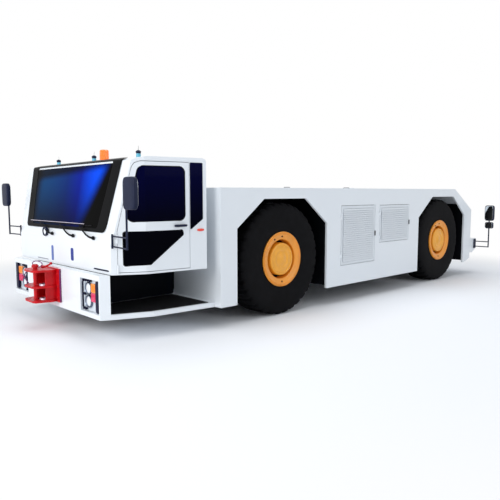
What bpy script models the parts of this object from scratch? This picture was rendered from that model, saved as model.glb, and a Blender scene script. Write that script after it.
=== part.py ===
"""Aircraft pushback tractor: a low, heavy, four-wheel-steered towing machine.

The cab stands low at the front, ahead of a long ballasted body.  The vehicle
faces -Y, its left side is +X, the ground is z = 0 and the origin is the centre
of the footprint.  Lengths are metres.  Places along the vehicle are given as
stations: metres behind the front face of the front bumper.
"""

import math

import bmesh
import bpy
from mathutils import Matrix, Vector

# Driving dimensions ---------------------------------------------------------

GAP = 0.0003                # between pieces that touch
CLEARANCE = 0.006           # around doors and lids
HINGE_GAP = 0.0005          # between the turning faces of a hinge

BODY_HALF_WIDTH = 1.577
BODY_FRONT = 1.365          # stations of the body's two ends
BODY_REAR = 7.90
DECK_Z = 1.667
SKIRT_Z = 0.256
PANEL = 0.030               # thickness of the body's plates
SLOPE_START = 7.19          # station where the deck turns down at the rear
SLOPE_END_Z = 1.268
TAIL_KICK_START = 7.65      # station where the lower edge turns up at the rear
TAIL_KICK_Z = 0.32

FRONT_AXLE = 2.49
WHEELBASE = 4.25
ARCH_HALF = 0.862           # half-length of a wheel arch
ARCH_SHOULDER_Z = 1.18      # where the arch's straight sides end
ARCH_TOP_HALF = 0.40
ARCH_TOP_Z = 1.53

AXLE_Z = 0.74               # height of the wheel centres: the tyre stands on a flat facet
WHEEL_X = 1.31              # centre plane of each wheel
KINGPIN_X = 1.17
WHEEL_SIDES = 28
TYRE_HALF_WIDTH = 0.215
TREAD_HALF_WIDTH = 0.170
RIM_FLANGE_R = 0.360
RIM_SEAT_R = 0.3175
RIM_BARREL_R = 0.290
DISC_IN = 0.050             # the rim's disc, outboard of the wheel's centre plane
DISC_OUT = 0.100
HUB_OUT = 0.150

CAB_FRONT = 0.120
CAB_REAR = 1.210
CAB_WALL = 0.050
CAB_BOTTOM_Z = 0.737
ROOF_SPLIT_Z = 1.955
ROOF_Z = 1.995
CAB_NOSE_HALF = 1.237       # half-widths of the cab at its front, bend and rear
CAB_BEND_HALF = 1.411
CAB_BEND = 0.448
CAB_REAR_HALF = 1.510
SCREEN_FOOT = 0.155         # station and height of the foot of the windscreen
SCREEN_FOOT_Z = 1.187
SCREEN_RAKE = 0.22          # metres back for each metre up
SCREEN_HALF_FOOT = 1.075
SCREEN_HALF_TOP = 1.165
SCREEN_TOP_Z = 1.935
GLASS = 0.006
FLOOR = 0.040

BUMPER_HALF = 1.187
BUMPER_TOP_Z = 0.737
BUMPER_DEPTH = 0.100
STEP_TOP_Z = 0.312
SUBFRAME_HALF = 0.650
SUBFRAME_Z = 0.330

INNER_PLATE_X = 0.700       # centre planes of the plates inboard of the wheels
BULKHEAD = 0.020
BULKHEAD_GAP = 0.010        # from the edge of an arch to its bulkhead
FRAME_Z = 0.400
TUNNEL_HALF = 0.450         # shaft tunnel through the bulkheads
TUNNEL_Z = 1.000
AXLE_NOTCH_HALF = 0.170

HITCH_REACH = 0.290         # how far each hitch reaches beyond the face that carries it
HITCH_HALF = 0.260
PLATE = 0.025               # thickness of hitch plates

# Hinged louvre doors: front edge, rear edge, lower edge, upper edge
LOUVRE_DOORS = {
    "main": (3.684, 4.545, 0.553, 1.414),
    "aft": (4.680, 5.545, 0.830, 1.407),
}
LOUVRE_BORDER = 0.040
LOUVRE_RECESS = 0.014
LOUVRE_DOOR = 0.028         # thickness of a louvre door

HATCH = (3.46, 5.74, 0.62)  # front, rear, half-width of the opening in the deck

DOOR_SEAM = 0.185           # foremost station of the cab doors
DOOR_REAR = 0.985
DOOR_Z = (0.765, 1.940)

HINGE_R = 0.008
LEAF = 0.040
LEAF_THICK = 0.004

TOTAL_FRONT = -HITCH_REACH
TOTAL_REAR = BODY_REAR + HITCH_REACH
FRONT_Y = -(TOTAL_FRONT + TOTAL_REAR) / 2
REAR_AXLE = FRONT_AXLE + WHEELBASE
PANEL_IN = BODY_HALF_WIDTH - PANEL
BAY_HALF_WIDTH = PANEL_IN - GAP
SLOPE = (DECK_Z - SLOPE_END_Z) / (BODY_REAR - SLOPE_START)
SIDES = (("left", 1), ("right", -1))
AXLES = (("front", FRONT_AXLE), ("rear", REAR_AXLE))

# Scene ------------------------------------------------------------------------

for old in list(bpy.data.objects):
    bpy.data.objects.remove(old, do_unlink=True)
parts = bpy.data.collections.new("aircraft_pushback_tractor")
tools = bpy.data.collections.new("cutters")
for collection in (parts, tools):
    bpy.context.scene.collection.children.link(collection)

COLOURS = {                  # name: colour, roughness, metallic
    "white_paint": ((0.86, 0.88, 0.90), 0.35, 0.0),
    "black_frame": ((0.02, 0.02, 0.025), 0.55, 0.0),
    "red_paint": ((0.65, 0.03, 0.02), 0.4, 0.0),
    "orange_rim": ((0.95, 0.42, 0.08), 0.4, 0.0),
    "tyre": ((0.02, 0.02, 0.02), 0.85, 0.0),
    "glass": ((0.02, 0.03, 0.12), 0.08, 0.0),
    "dark_steel": ((0.10, 0.10, 0.12), 0.45, 0.8),
    "lamp": ((0.9, 0.85, 0.8), 0.2, 0.0),
    "amber": ((0.95, 0.25, 0.02), 0.3, 0.0),
    "seat": ((0.06, 0.06, 0.07), 0.8, 0.0),
    "navy_plastic": ((0.02, 0.03, 0.07), 0.4, 0.0),
}


def material(name):
    """The material of that name, made once."""
    if name in bpy.data.materials:
        return bpy.data.materials[name]
    colour, roughness, metallic = COLOURS[name]
    made = bpy.data.materials.new(name)
    made.use_nodes = True
    shader = made.node_tree.nodes["Principled BSDF"]
    shader.inputs["Base Color"].default_value = (*colour, 1.0)
    shader.inputs["Roughness"].default_value = roughness
    shader.inputs["Metallic"].default_value = metallic
    return made


# Helpers ----------------------------------------------------------------------

# Which world directions an outline's two coordinates and its extrusion follow
TURNS = {
    "X": Matrix(((0, 0, 1), (1, 0, 0), (0, 1, 0))).to_4x4(),    # outline in (station, z)
    "Y": Matrix(((1, 0, 0), (0, 0, -1), (0, 1, 0))).to_4x4(),   # outline in (x, z)
    "Z": Matrix.Identity(4),                                    # outline in (x, station)
}


def shifted(obj):
    """Moves a piece built in stations to its place about the origin."""
    obj.matrix_world = Matrix.Translation((0, FRONT_Y, 0)) @ obj.matrix_world
    return obj


def add_mesh(name, mesh, matrix=None):
    """A new object in the cutters' collection; finish() makes it a part."""
    obj = bpy.data.objects.new(name, mesh)
    tools.objects.link(obj)
    obj.hide_render = True
    obj.display_type = "WIRE"
    if matrix is not None:
        obj.matrix_world = matrix
    return obj


def prism(name, outlines, axis, low, high):
    """A flat outline (or several: the later ones are holes) extruded along an axis."""
    if not isinstance(outlines[0][0], (tuple, list)):
        outlines = [outlines]
    curve = bpy.data.curves.new(name, "CURVE")
    curve.dimensions = "2D"
    curve.fill_mode = "BOTH"
    curve.extrude = abs(high - low) / 2
    for outline in outlines:
        spline = curve.splines.new("POLY")
        spline.points.add(len(outline) - 1)
        for point, (a, b) in zip(spline.points, outline):
            point.co = (a, b, 0, 1)
        spline.use_cyclic_u = True
    flat = bpy.data.objects.new(name, curve)
    tools.objects.link(flat)
    bpy.context.view_layer.update()
    graph = bpy.context.evaluated_depsgraph_get()
    mesh = bpy.data.meshes.new_from_object(flat.evaluated_get(graph))
    bpy.data.objects.remove(flat, do_unlink=True)
    weld = bmesh.new()
    weld.from_mesh(mesh)
    bmesh.ops.remove_doubles(weld, verts=weld.verts, dist=0.00001)
    bmesh.ops.recalc_face_normals(weld, faces=weld.faces)
    weld.to_mesh(mesh)
    weld.free()
    middle = (low + high) / 2
    offset = {"X": (middle, 0, 0), "Y": (0, middle, 0), "Z": (0, 0, middle)}[axis]
    return shifted(add_mesh(name, mesh, Matrix.Translation(offset) @ TURNS[axis]))


def box(name, x, station, z):
    """A block between the low and high values of each pair."""
    made = bmesh.new()
    bmesh.ops.create_cube(made, size=1.0)
    size = [pair[1] - pair[0] for pair in (x, station, z)]
    centre = [(pair[1] + pair[0]) / 2 for pair in (x, station, z)]
    bmesh.ops.scale(made, vec=size, verts=made.verts)
    mesh = bpy.data.meshes.new(name)
    made.to_mesh(mesh)
    made.free()
    return shifted(add_mesh(name, mesh, Matrix.Translation(centre)))


def rod(name, start, end, radius, sides=12, end_radius=None):
    """A round bar (or cone) from start to end, points as (x, station, z)."""
    start, end = Vector(start), Vector(end)
    made = bmesh.new()
    bmesh.ops.create_cone(made, cap_ends=True, segments=sides, radius1=radius,
                          radius2=radius if end_radius is None else end_radius,
                          depth=(end - start).length)
    mesh = bpy.data.meshes.new(name)
    made.to_mesh(mesh)
    made.free()
    turn = (end - start).to_track_quat("Z", "Y").to_matrix().to_4x4()
    return shifted(add_mesh(name, mesh, Matrix.Translation((start + end) / 2) @ turn))


def turned(name, profile, centre, outward, closed):
    """A profile of (radius, distance outward) turned about an axis along X."""
    mesh = bpy.data.meshes.new(name)
    count = len(profile)
    edges = [(i, (i + 1) % count) for i in range(count if closed else count - 1)]
    mesh.from_pydata([(r, 0, u) for r, u in profile], edges, [])
    facet = math.pi / WHEEL_SIDES
    turn = Matrix.Rotation(math.radians(90 * outward), 4, "Y")
    level = Matrix.Rotation(facet, 4, "Z")
    obj = shifted(add_mesh(name, mesh, Matrix.Translation(centre) @ turn @ level))
    screw = obj.modifiers.new("turn", "SCREW")
    screw.steps = screw.render_steps = WHEEL_SIDES
    screw.angle = 2 * math.pi
    screw.use_merge_vertices = True
    screw.merge_threshold = 0.0001
    return obj


def boolean(target, other, operation):
    """Adds a live Boolean; the other piece stays with the cutters."""
    step = target.modifiers.new(operation.lower(), "BOOLEAN")
    step.operation = operation
    step.solver = "EXACT"
    step.object = other
    return target


def cut(target, *others):
    for other in others:
        boolean(target, other, "DIFFERENCE")
    return target


def join(target, *others):
    for other in others:
        boolean(target, other, "UNION")
    return target


def keep(target, other):
    return boolean(target, other, "INTERSECT")


def finish(obj, paint, pivot=None):
    """Makes a piece a part: its collection, its paint, its origin on the joint."""
    tools.objects.unlink(obj)
    parts.objects.link(obj)
    obj.hide_render = False
    obj.display_type = "TEXTURED"
    obj.data.materials.clear()
    obj.data.materials.append(material(paint))
    if pivot is not None:
        place = Matrix.Translation(Vector(pivot) + Vector((0, FRONT_Y, 0)))
        obj.data.transform(place.inverted() @ obj.matrix_world)
        obj.matrix_world = place
    return obj


def mirrored(points, side):
    """An outline in (x, ...) for the left side, or its mirror image for the right."""
    return [(side * p[0], *p[1:]) for p in points]


def span(a, b, side):
    """The X range from a to b outboard, on one side."""
    return (a, b) if side > 0 else (-b, -a)


def rounded(points, radius, steps=3):
    """The outline with each corner replaced by an arc of that radius."""
    made = []
    count = len(points)
    for i, corner in enumerate(points):
        here = Vector(corner)
        before = (Vector(points[i - 1]) - here)
        after = (Vector(points[(i + 1) % count]) - here)
        half = before.angle(after) / 2
        reach = min(radius / math.tan(half), before.length * 0.45, after.length * 0.45)
        r = reach * math.tan(half)
        middle = here + (before.normalized() + after.normalized()).normalized() * (r / math.sin(half))
        start = here + before.normalized() * reach - middle
        end = here + after.normalized() * reach - middle
        turn = start.angle_signed(end)
        for k in range(steps + 1):
            angle = -turn * k / steps
            c, s = math.cos(angle), math.sin(angle)
            made.append((middle.x + start.x * c - start.y * s, middle.y + start.x * s + start.y * c))
    return made


# Body plates --------------------------------------------------------------------

def deck_under(station, depth=PANEL):
    """Height of the surface that lies `depth` under the deck's skin."""
    slant = depth * math.hypot(1, SLOPE)
    return min(DECK_Z - depth, DECK_Z - slant - SLOPE * (station - SLOPE_START))


def deck_bend(depth):
    """Station where the surface `depth` under the skin turns down."""
    return SLOPE_START - depth * (math.hypot(1, SLOPE) - 1) / SLOPE


def arch(axle):
    """The wheel arch's outline from its front foot to its rear foot."""
    return [(axle - ARCH_HALF, SKIRT_Z), (axle - ARCH_HALF, ARCH_SHOULDER_Z),
            (axle - ARCH_TOP_HALF, ARCH_TOP_Z), (axle + ARCH_TOP_HALF, ARCH_TOP_Z),
            (axle + ARCH_HALF, ARCH_SHOULDER_Z), (axle + ARCH_HALF, SKIRT_Z)]


def rectangle(front, rear, low, high, margin=0.0):
    return [(front - margin, low - margin), (rear + margin, low - margin),
            (rear + margin, high + margin), (front - margin, high + margin)]


def hinge_heights(low, high):
    """Middles of a tall door's two hinges."""
    return low + 0.18 * (high - low), high - 0.18 * (high - low)


BARREL = 0.045               # length of each half of a hinge


def hinge_half(name, axis, base, out, along, low, high):
    """Half a hinge: a barrel just clear of the surface, and a leaf sunk into one side of it.

    `base` is the point of the surface under the hinge's axis, `out` the surface's normal
    and `along` the way the leaf runs from it, all in the plane of the outline.
    """
    base, out, along = Vector(base), Vector(out).normalized(), Vector(along).normalized()
    centre = base + out * (HINGE_R + HINGE_GAP)
    outline = [base + along * a + out * o for a, o in (
        (CLEARANCE / 2 + 0.001, -0.002), (LEAF, -0.002), (LEAF, LEAF_THICK), (HINGE_R + 0.004, LEAF_THICK))]
    for step in range(7):
        turn = math.radians(45 * step)
        outline.append(centre + (along * math.cos(turn) + out * math.sin(turn)) * HINGE_R)
    return prism(name, [tuple(p) for p in outline], axis, low, high)


deck_outer = [(BODY_FRONT, DECK_Z), (SLOPE_START, DECK_Z), (BODY_REAR, SLOPE_END_Z)]
deck_inner = [(BODY_REAR, deck_under(BODY_REAR)), (deck_bend(PANEL), DECK_Z - PANEL),
              (BODY_FRONT, DECK_Z - PANEL)]
deck = prism("deck", deck_outer + deck_inner, "X", -BODY_HALF_WIDTH, BODY_HALF_WIDTH)
hatch_front, hatch_rear, hatch_half = HATCH
cut(deck, box("hatch_cut", (-hatch_half, hatch_half), (hatch_front, hatch_rear),
              (DECK_Z - 0.2, DECK_Z + 0.2)))

under = PANEL + GAP
side_outline = ([(BODY_FRONT, SKIRT_Z)] + arch(FRONT_AXLE) + arch(REAR_AXLE)
                + [(TAIL_KICK_START, SKIRT_Z), (BODY_REAR, TAIL_KICK_Z),
                   (BODY_REAR, deck_under(BODY_REAR, under)),
                   (deck_bend(under), DECK_Z - under), (BODY_FRONT, DECK_Z - under)])
for side_name, side in SIDES:
    holes = [rectangle(*door, CLEARANCE) for door in LOUVRE_DOORS.values()]
    panel = prism("side_panel_" + side_name, [side_outline] + holes, "X",
                  *span(PANEL_IN, BODY_HALF_WIDTH, side))
    for door_name, (front, rear, low, high) in LOUVRE_DOORS.items():
        axis = front - CLEARANCE / 2
        for number, z in enumerate(hinge_heights(low, high)):
            join(panel, hinge_half(f"fixed_hinge_{door_name}_{side_name}_{number}", "Z",
                                   (side * BODY_HALF_WIDTH, axis), (side, 0), (0, -1),
                                   z - BARREL, z - HINGE_GAP))
    finish(panel, "white_paint")

    for door_name, (front, rear, low, high) in LOUVRE_DOORS.items():
        name = f"louvre_door_{door_name}_{side_name}"
        door = prism(name, rectangle(front, rear, low, high), "X",
                     *span(BODY_HALF_WIDTH - LOUVRE_DOOR, BODY_HALF_WIDTH, side))
        recess = rectangle(front, rear, low, high, -LOUVRE_BORDER)
        cut(door, prism(name + "_recess", recess, "X",
                        *span(BODY_HALF_WIDTH - LOUVRE_RECESS, BODY_HALF_WIDTH + 0.1, side)))
        axis = front - CLEARANCE / 2
        for number, z in enumerate(hinge_heights(low, high)):
            join(door, hinge_half(f"{name}_hinge_{number}", "Z", (side * BODY_HALF_WIDTH, axis),
                                  (side, 0), (0, 1), z, z + BARREL))
        finish(door, "white_paint", (side * (BODY_HALF_WIDTH + HINGE_R + HINGE_GAP), axis, AXLE_Z))

HATCH_HINGES = (-0.45, 0.45)
hatch = box("engine_hatch", (CLEARANCE - hatch_half, hatch_half - CLEARANCE),
            (hatch_front + CLEARANCE, hatch_rear - CLEARANCE), (DECK_Z - PANEL, DECK_Z))
hatch_axis = hatch_front + CLEARANCE / 2
hatch_axis_z = DECK_Z + HINGE_R + HINGE_GAP


for number, x in enumerate(HATCH_HINGES):
    join(deck, hinge_half(f"deck_hinge_{number}", "X", (hatch_axis, DECK_Z), (0, 1), (-1, 0),
                          x - BARREL, x - HINGE_GAP))
    join(hatch, hinge_half(f"hatch_hinge_{number}", "X", (hatch_axis, DECK_Z), (0, 1), (1, 0),
                           x, x + BARREL))
for x in (-0.35, 0.35):
    join(hatch, box("hatch_handle", (x - 0.07, x + 0.07), (hatch_rear - 0.12, hatch_rear - 0.10),
                    (DECK_Z - 0.002, DECK_Z + 0.03)))
finish(deck, "white_paint")
finish(hatch, "white_paint", (0, hatch_axis, hatch_axis_z))

front_wall = box("front_wall", (-BAY_HALF_WIDTH, BAY_HALF_WIDTH), (BODY_FRONT, BODY_FRONT + PANEL),
                 (SKIRT_Z, DECK_Z - under))
finish(front_wall, "white_paint")
rear_outline = [(BODY_REAR - PANEL, TAIL_KICK_Z), (BODY_REAR, TAIL_KICK_Z),
                (BODY_REAR, deck_under(BODY_REAR, under)),
                (BODY_REAR - PANEL, deck_under(BODY_REAR - PANEL, under))]
finish(prism("rear_wall", rear_outline, "X", -BAY_HALF_WIDTH, BAY_HALF_WIDTH), "white_paint")

# Wheel boxes: the plates and bulkheads around each pair of wheels -----------------

BULKHEAD_HALF_SPAN = ARCH_HALF + BULKHEAD_GAP      # from the axle to the bulkheads' near faces
BULKHEAD_Z = SKIRT_Z + 0.04
for axle_name, axle in AXLES:
    name = axle_name + "_wheel_box"
    whole = None
    for station in (axle - BULKHEAD_HALF_SPAN - BULKHEAD, axle + BULKHEAD_HALF_SPAN):
        top = deck_under(station + BULKHEAD, under)
        outline = [(-BAY_HALF_WIDTH, BULKHEAD_Z), (-TUNNEL_HALF, BULKHEAD_Z), (-TUNNEL_HALF, TUNNEL_Z),
                   (TUNNEL_HALF, TUNNEL_Z), (TUNNEL_HALF, BULKHEAD_Z), (BAY_HALF_WIDTH, BULKHEAD_Z),
                   (BAY_HALF_WIDTH, top), (-BAY_HALF_WIDTH, top)]
        wall = prism(name if whole is None else name + "_wall", outline, "Y",
                     station, station + BULKHEAD)
        whole = wall if whole is None else join(whole, wall)
    start, end = axle - BULKHEAD_HALF_SPAN - 0.005, axle + BULKHEAD_HALF_SPAN + 0.005
    notch_top = AXLE_Z + AXLE_NOTCH_HALF
    bend = deck_bend(under)
    top_edge = [(end, deck_under(end, under + 0.002)), (start, DECK_Z - under - 0.002)]
    if start < bend < end:
        top_edge.insert(1, (bend, DECK_Z - under - 0.002))
    plate_outline = [(start, FRAME_Z), (axle - AXLE_NOTCH_HALF, FRAME_Z),
                     (axle - AXLE_NOTCH_HALF, notch_top), (axle + AXLE_NOTCH_HALF, notch_top),
                     (axle + AXLE_NOTCH_HALF, FRAME_Z), (end, FRAME_Z)] + top_edge
    for side_name, side in SIDES:
        x = span(INNER_PLATE_X - PANEL / 2, INNER_PLATE_X + PANEL / 2, side)
        join(whole, prism(f"{name}_plate_{side_name}", plate_outline, "X", *x))
    finish(whole, "black_frame")

BAY_START = FRONT_AXLE + BULKHEAD_HALF_SPAN + BULKHEAD
BAY_END = REAR_AXLE - BULKHEAD_HALF_SPAN - BULKHEAD
finish(box("engine_block", (-0.45, 0.45), (BAY_START + GAP, BAY_END - GAP), (0.50, 1.45)),
       "dark_steel")

# Axles, knuckles and wheels ---------------------------------------------------------

ARM_LOW = 0.145              # the fork arms' near faces, above and below the axle
ARM_HIGH = 0.205
HUB_FACE = WHEEL_X + DISC_IN - HINGE_GAP
for axle_name, axle in AXLES:
    beam = box(axle_name + "_axle", (-0.96, 0.96), (axle - 0.11, axle + 0.11),
               (AXLE_Z - 0.13, AXLE_Z + 0.13))
    case = rod(axle_name + "_differential", (-0.20, axle, AXLE_Z), (0.20, axle, AXLE_Z), 0.26, 16)
    to_engine = BAY_START if axle_name == "front" else BAY_END
    shaft_end = to_engine - GAP if axle_name == "front" else to_engine + GAP
    shaft = rod(axle_name + "_shaft", (0, axle, AXLE_Z), (0, shaft_end, AXLE_Z), 0.06, 12)
    join(beam, case, shaft)
    for side_name, side in SIDES:
        pad = box("pad", span(INNER_PLATE_X - 0.05, INNER_PLATE_X + 0.05, side), (axle - 0.10, axle + 0.10),
                  (AXLE_Z + 0.10, AXLE_Z + AXLE_NOTCH_HALF - GAP))
        yoke = box("yoke", span(0.94, 1.02, side), (axle - 0.09, axle + 0.09),
                   (AXLE_Z - ARM_HIGH, AXLE_Z + ARM_HIGH))
        join(beam, pad, yoke)
        for low, high in ((ARM_LOW, ARM_HIGH), (-ARM_HIGH, -ARM_LOW)):
            join(beam, box("arm", span(1.00, KINGPIN_X + 0.06, side), (axle - 0.07, axle + 0.07),
                           (AXLE_Z + low, AXLE_Z + high)))
        knuckle = rod(f"knuckle_{axle_name}_{side_name}",
                      (side * KINGPIN_X, axle, AXLE_Z - ARM_LOW + HINGE_GAP),
                      (side * KINGPIN_X, axle, AXLE_Z + ARM_LOW - HINGE_GAP), 0.075, 12)
        spindle = rod("spindle", (side * KINGPIN_X, axle, AXLE_Z),
                      (side * (HUB_FACE - 0.02), axle, AXLE_Z), 0.055, 12)
        flange = rod("hub_flange", (side * (HUB_FACE - 0.025), axle, AXLE_Z),
                     (side * HUB_FACE, axle, AXLE_Z), 0.12, 16)
        join(knuckle, spindle, flange)
        finish(knuckle, "dark_steel", (side * KINGPIN_X, axle, AXLE_Z))

        centre = (side * WHEEL_X, axle, AXLE_Z)
        tread_r = AXLE_Z / math.cos(math.pi / WHEEL_SIDES)
        bead = TYRE_HALF_WIDTH - 0.020 - GAP
        seat = RIM_SEAT_R + GAP
        half_tyre = [(seat, bead), (RIM_FLANGE_R + 0.04, bead), (0.48, TYRE_HALF_WIDTH - 0.001),
                     (0.62, TYRE_HALF_WIDTH), (0.70, TYRE_HALF_WIDTH - 0.015), (tread_r, TREAD_HALF_WIDTH)]
        tyre_profile = half_tyre + [(r, -u) for r, u in reversed(half_tyre)]
        tyre = turned(f"tyre_{axle_name}_{side_name}", tyre_profile, centre, side, True)
        finish(tyre, "tyre")
        edge = TYRE_HALF_WIDTH
        rim_profile = [(0, HUB_OUT), (0.13, HUB_OUT), (0.15, DISC_OUT), (RIM_BARREL_R, DISC_OUT),
                       (RIM_BARREL_R, edge), (RIM_FLANGE_R, edge), (RIM_FLANGE_R, edge - 0.02),
                       (RIM_SEAT_R, edge - 0.02), (RIM_SEAT_R, 0.02 - edge), (RIM_FLANGE_R, 0.02 - edge),
                       (RIM_FLANGE_R, -edge), (RIM_BARREL_R, -edge), (RIM_BARREL_R, DISC_IN), (0, DISC_IN)]
        finish(turned(f"rim_{axle_name}_{side_name}", rim_profile, centre, side, False), "orange_rim")
    finish(beam, "black_frame")

# Front end: subframe, bumper, steps, lamps, hitch -------------------------------------

inner_wall = CAB_WALL + GAP


def cab_plan(inset, front, rear):
    """The cab's plan, shrunk by `inset`, between two stations: one rounded-wedge outline."""
    ahead = Vector((CAB_BEND_HALF - CAB_NOSE_HALF, CAB_BEND - CAB_FRONT))
    behind = Vector((CAB_REAR_HALF - CAB_BEND_HALF, CAB_REAR - CAB_BEND))

    def wall_x(station, base, base_station, way):
        return base + way.x / way.y * (station - base_station) - inset * way.length / way.y

    mean = (ahead.normalized() + behind.normalized()).normalized()
    bend = CAB_BEND + inset * mean.x / math.cos(ahead.angle(behind) / 2)
    points = [(wall_x(front, CAB_NOSE_HALF, CAB_FRONT, ahead), front),
              (wall_x(bend, CAB_NOSE_HALF, CAB_FRONT, ahead), bend),
              (wall_x(rear, CAB_REAR_HALF, CAB_REAR, behind), rear)]
    return [(-x, s) for x, s in points] + [(x, s) for x, s in reversed(points)]


def screen_station(z, depth=0.0):
    """Station of the surface that lies `depth` behind the windscreen's plane."""
    return SCREEN_FOOT + SCREEN_RAKE * (z - SCREEN_FOOT_Z) + depth * math.hypot(1, SCREEN_RAKE)


def cab_side(inset, low, high, rear=CAB_REAR):
    """The cab's side view, shrunk by `inset` at the front and the rear."""
    meet = SCREEN_FOOT_Z - 0.12
    return [(CAB_FRONT + inset, low), (CAB_FRONT + inset, meet),
            (screen_station(SCREEN_FOOT_Z, inset), SCREEN_FOOT_Z),
            (screen_station(high, inset), high), (rear - inset, high), (rear - inset, low)]


def cab_solid(name, inset, low, high):
    """A solid with the cab's outside shape, shrunk by `inset`."""
    side_view = prism(name, cab_side(inset, low, high), "X", -1.8, 1.8)
    plan = prism(name + "_plan", cab_plan(inset, CAB_FRONT - 0.1, CAB_REAR + 0.1), "Z", low - 0.1, high + 0.1)
    return keep(side_view, plan)


def side_sheet(name, outline, depth_out, depth_in, side):
    """A sheet with that side-view outline, between two depths under the cab's side skin."""
    sheet = prism(name, outline, "X", *span(CAB_NOSE_HALF - 0.15, 1.8, side))
    keep(sheet, prism(name + "_out", cab_plan(depth_out, -0.1, CAB_REAR + 0.1), "Z", 0.4, 2.2))
    return cut(sheet, prism(name + "_in", cab_plan(depth_in, -0.2, CAB_REAR + 0.2), "Z", 0.3, 2.3))


floor_top = CAB_BOTTOM_Z + FLOOR
subframe = prism("cab_subframe", cab_plan(inner_wall, CAB_FRONT + inner_wall, CAB_REAR - inner_wall), "Z",
                 CAB_BOTTOM_Z, floor_top)
join(subframe, box("subframe_beam", (-SUBFRAME_HALF, SUBFRAME_HALF),
                   (BUMPER_DEPTH + GAP, BODY_FRONT - GAP), (SUBFRAME_Z, CAB_BOTTOM_Z - 0.001)),
     box("subframe_neck", (-SUBFRAME_HALF + 0.05, SUBFRAME_HALF - 0.05), (CAB_FRONT + 0.1, CAB_REAR - 0.1),
         (CAB_BOTTOM_Z - 0.05, CAB_BOTTOM_Z + 0.01)))
finish(subframe, "black_frame")

STEP_EDGE = [(1.238, 0.106), (1.400, 0.541), (1.467, BODY_FRONT - GAP)]
bumper_plan = [(-1.238, BUMPER_DEPTH), (-BUMPER_HALF, 0), (BUMPER_HALF, 0), (1.238, BUMPER_DEPTH)]
bumper = prism("front_bumper", bumper_plan, "Z", SKIRT_Z, BUMPER_TOP_Z - GAP)
LAMP = (0.748, 1.166, 0.310, 0.677)     # inner edge, outer edge, bottom, top of a lamp cluster
LAMP_DEPTH = 0.05
for side_name, side in SIDES:
    x = span(LAMP[0], LAMP[1], side)
    cut(bumper, box("lamp_pocket", x, (-0.1, LAMP_DEPTH), (LAMP[2], LAMP[3])))
    lamp = box("headlamp_" + side_name, span(LAMP[0] + 0.003, LAMP[1] - 0.003, side),
               (0.002, LAMP_DEPTH - GAP),
               (LAMP[2] + 0.003, LAMP[3] - 0.003))
    finish(lamp, "lamp")
    step_plan = mirrored([(SUBFRAME_HALF + GAP, BUMPER_DEPTH + GAP), (STEP_EDGE[0][0], BUMPER_DEPTH + GAP),
                          STEP_EDGE[1], STEP_EDGE[2], (SUBFRAME_HALF + GAP, BODY_FRONT - GAP)], side)
    step = prism("step_" + side_name, step_plan, "Z", SKIRT_Z, STEP_TOP_Z)
    join(step, box("step_tab", span(SUBFRAME_HALF + GAP, SUBFRAME_HALF + 0.03, side),
                   (BUMPER_DEPTH + 0.02, BODY_FRONT - 0.02), (STEP_TOP_Z - 0.01, STEP_TOP_Z + 0.06)))
    finish(step, "white_paint")
finish(bumper, "white_paint")

JAWS = (0.340, 0.510, 0.700)            # heights of the hitch's three jaw plates
PIN_R = 0.028
PIN_STATION = -0.200


def hitch(name, face, way, jaws, half):
    """Base plate, jaw plates and side webs; `way` is -1 ahead of the bumper, 1 behind the body."""
    def reach(a, b):
        return sorted((face + way * a, face + way * b))
    low, high = jaws[0] - 0.02, jaws[-1] + 0.02
    whole = box(name, (-half, half), reach(GAP, PLATE), (low, high))
    for z in jaws:
        plate = rounded([(-half * 0.85, face + way * 0.01), (half * 0.85, face + way * 0.01),
                         (half * 0.60, face + way * HITCH_REACH), (-half * 0.60, face + way * HITCH_REACH)],
                        0.06, 2)
        join(whole, prism(name + "_jaw", plate, "Z", z - PLATE / 2, z + PLATE / 2))
    for side in (1, -1):
        web = [(face + way * 0.01, low + 0.005), (face + way * 0.15, low + 0.03),
               (face + way * 0.15, high - 0.03), (face + way * 0.01, high - 0.005)]
        join(whole, prism(name + "_web", web, "X", *span(half * 0.58, half * 0.58 + PLATE, side)))
    return whole


front_hitch = hitch("front_hitch", 0.0, -1, JAWS, HITCH_HALF)
cut(front_hitch, rod("pin_hole", (0, PIN_STATION, 0.25), (0, PIN_STATION, 0.80), PIN_R + HINGE_GAP, 12))
finish(front_hitch, "red_paint")
pin = rod("front_hitch_pin", (0, PIN_STATION, JAWS[0] - 0.04),
          (0, PIN_STATION, JAWS[2] + PLATE / 2 + 0.06), PIN_R, 12)
finish(pin, "red_paint")

REAR_JAWS = (0.440, 0.620)
rear_hitch = hitch("rear_hitch", BODY_REAR, 1, REAR_JAWS, 0.22)
finish(rear_hitch, "red_paint")

REAR_BUMPER = (0.420, 0.700, 0.256)     # lower and upper heights, depth behind the body
low, high, depth = REAR_BUMPER
bumper_side = [(BODY_REAR + GAP, low + 0.03), (BODY_REAR + 0.10, low), (BODY_REAR + depth, low + 0.08),
               (BODY_REAR + depth, high), (BODY_REAR + GAP, high)]
for side_name, side in SIDES:
    half = prism("rear_bumper_" + side_name, bumper_side, "X", *span(0.30, BODY_HALF_WIDTH, side))
    finish(half, "white_paint")

# Cab -------------------------------------------------------------------------------------

PILLAR = 0.020              # the windscreen's pillar, seen from the side, ahead of the door's seam
WINDOW_FRAME = 0.055        # from the door's slanted front edge to its upper window
SLANT_FOOT = 1.200          # above this height the door's front edge runs along the pillar
SLANT_TOP = 1.870
door_outline = [(DOOR_SEAM, DOOR_Z[0]), (DOOR_REAR, DOOR_Z[0]), (DOOR_REAR, DOOR_Z[1]), (0.405, DOOR_Z[1]),
                (0.352, 1.920), (screen_station(SLANT_TOP) + PILLAR, SLANT_TOP), (DOOR_SEAM, SLANT_FOOT)]


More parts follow.
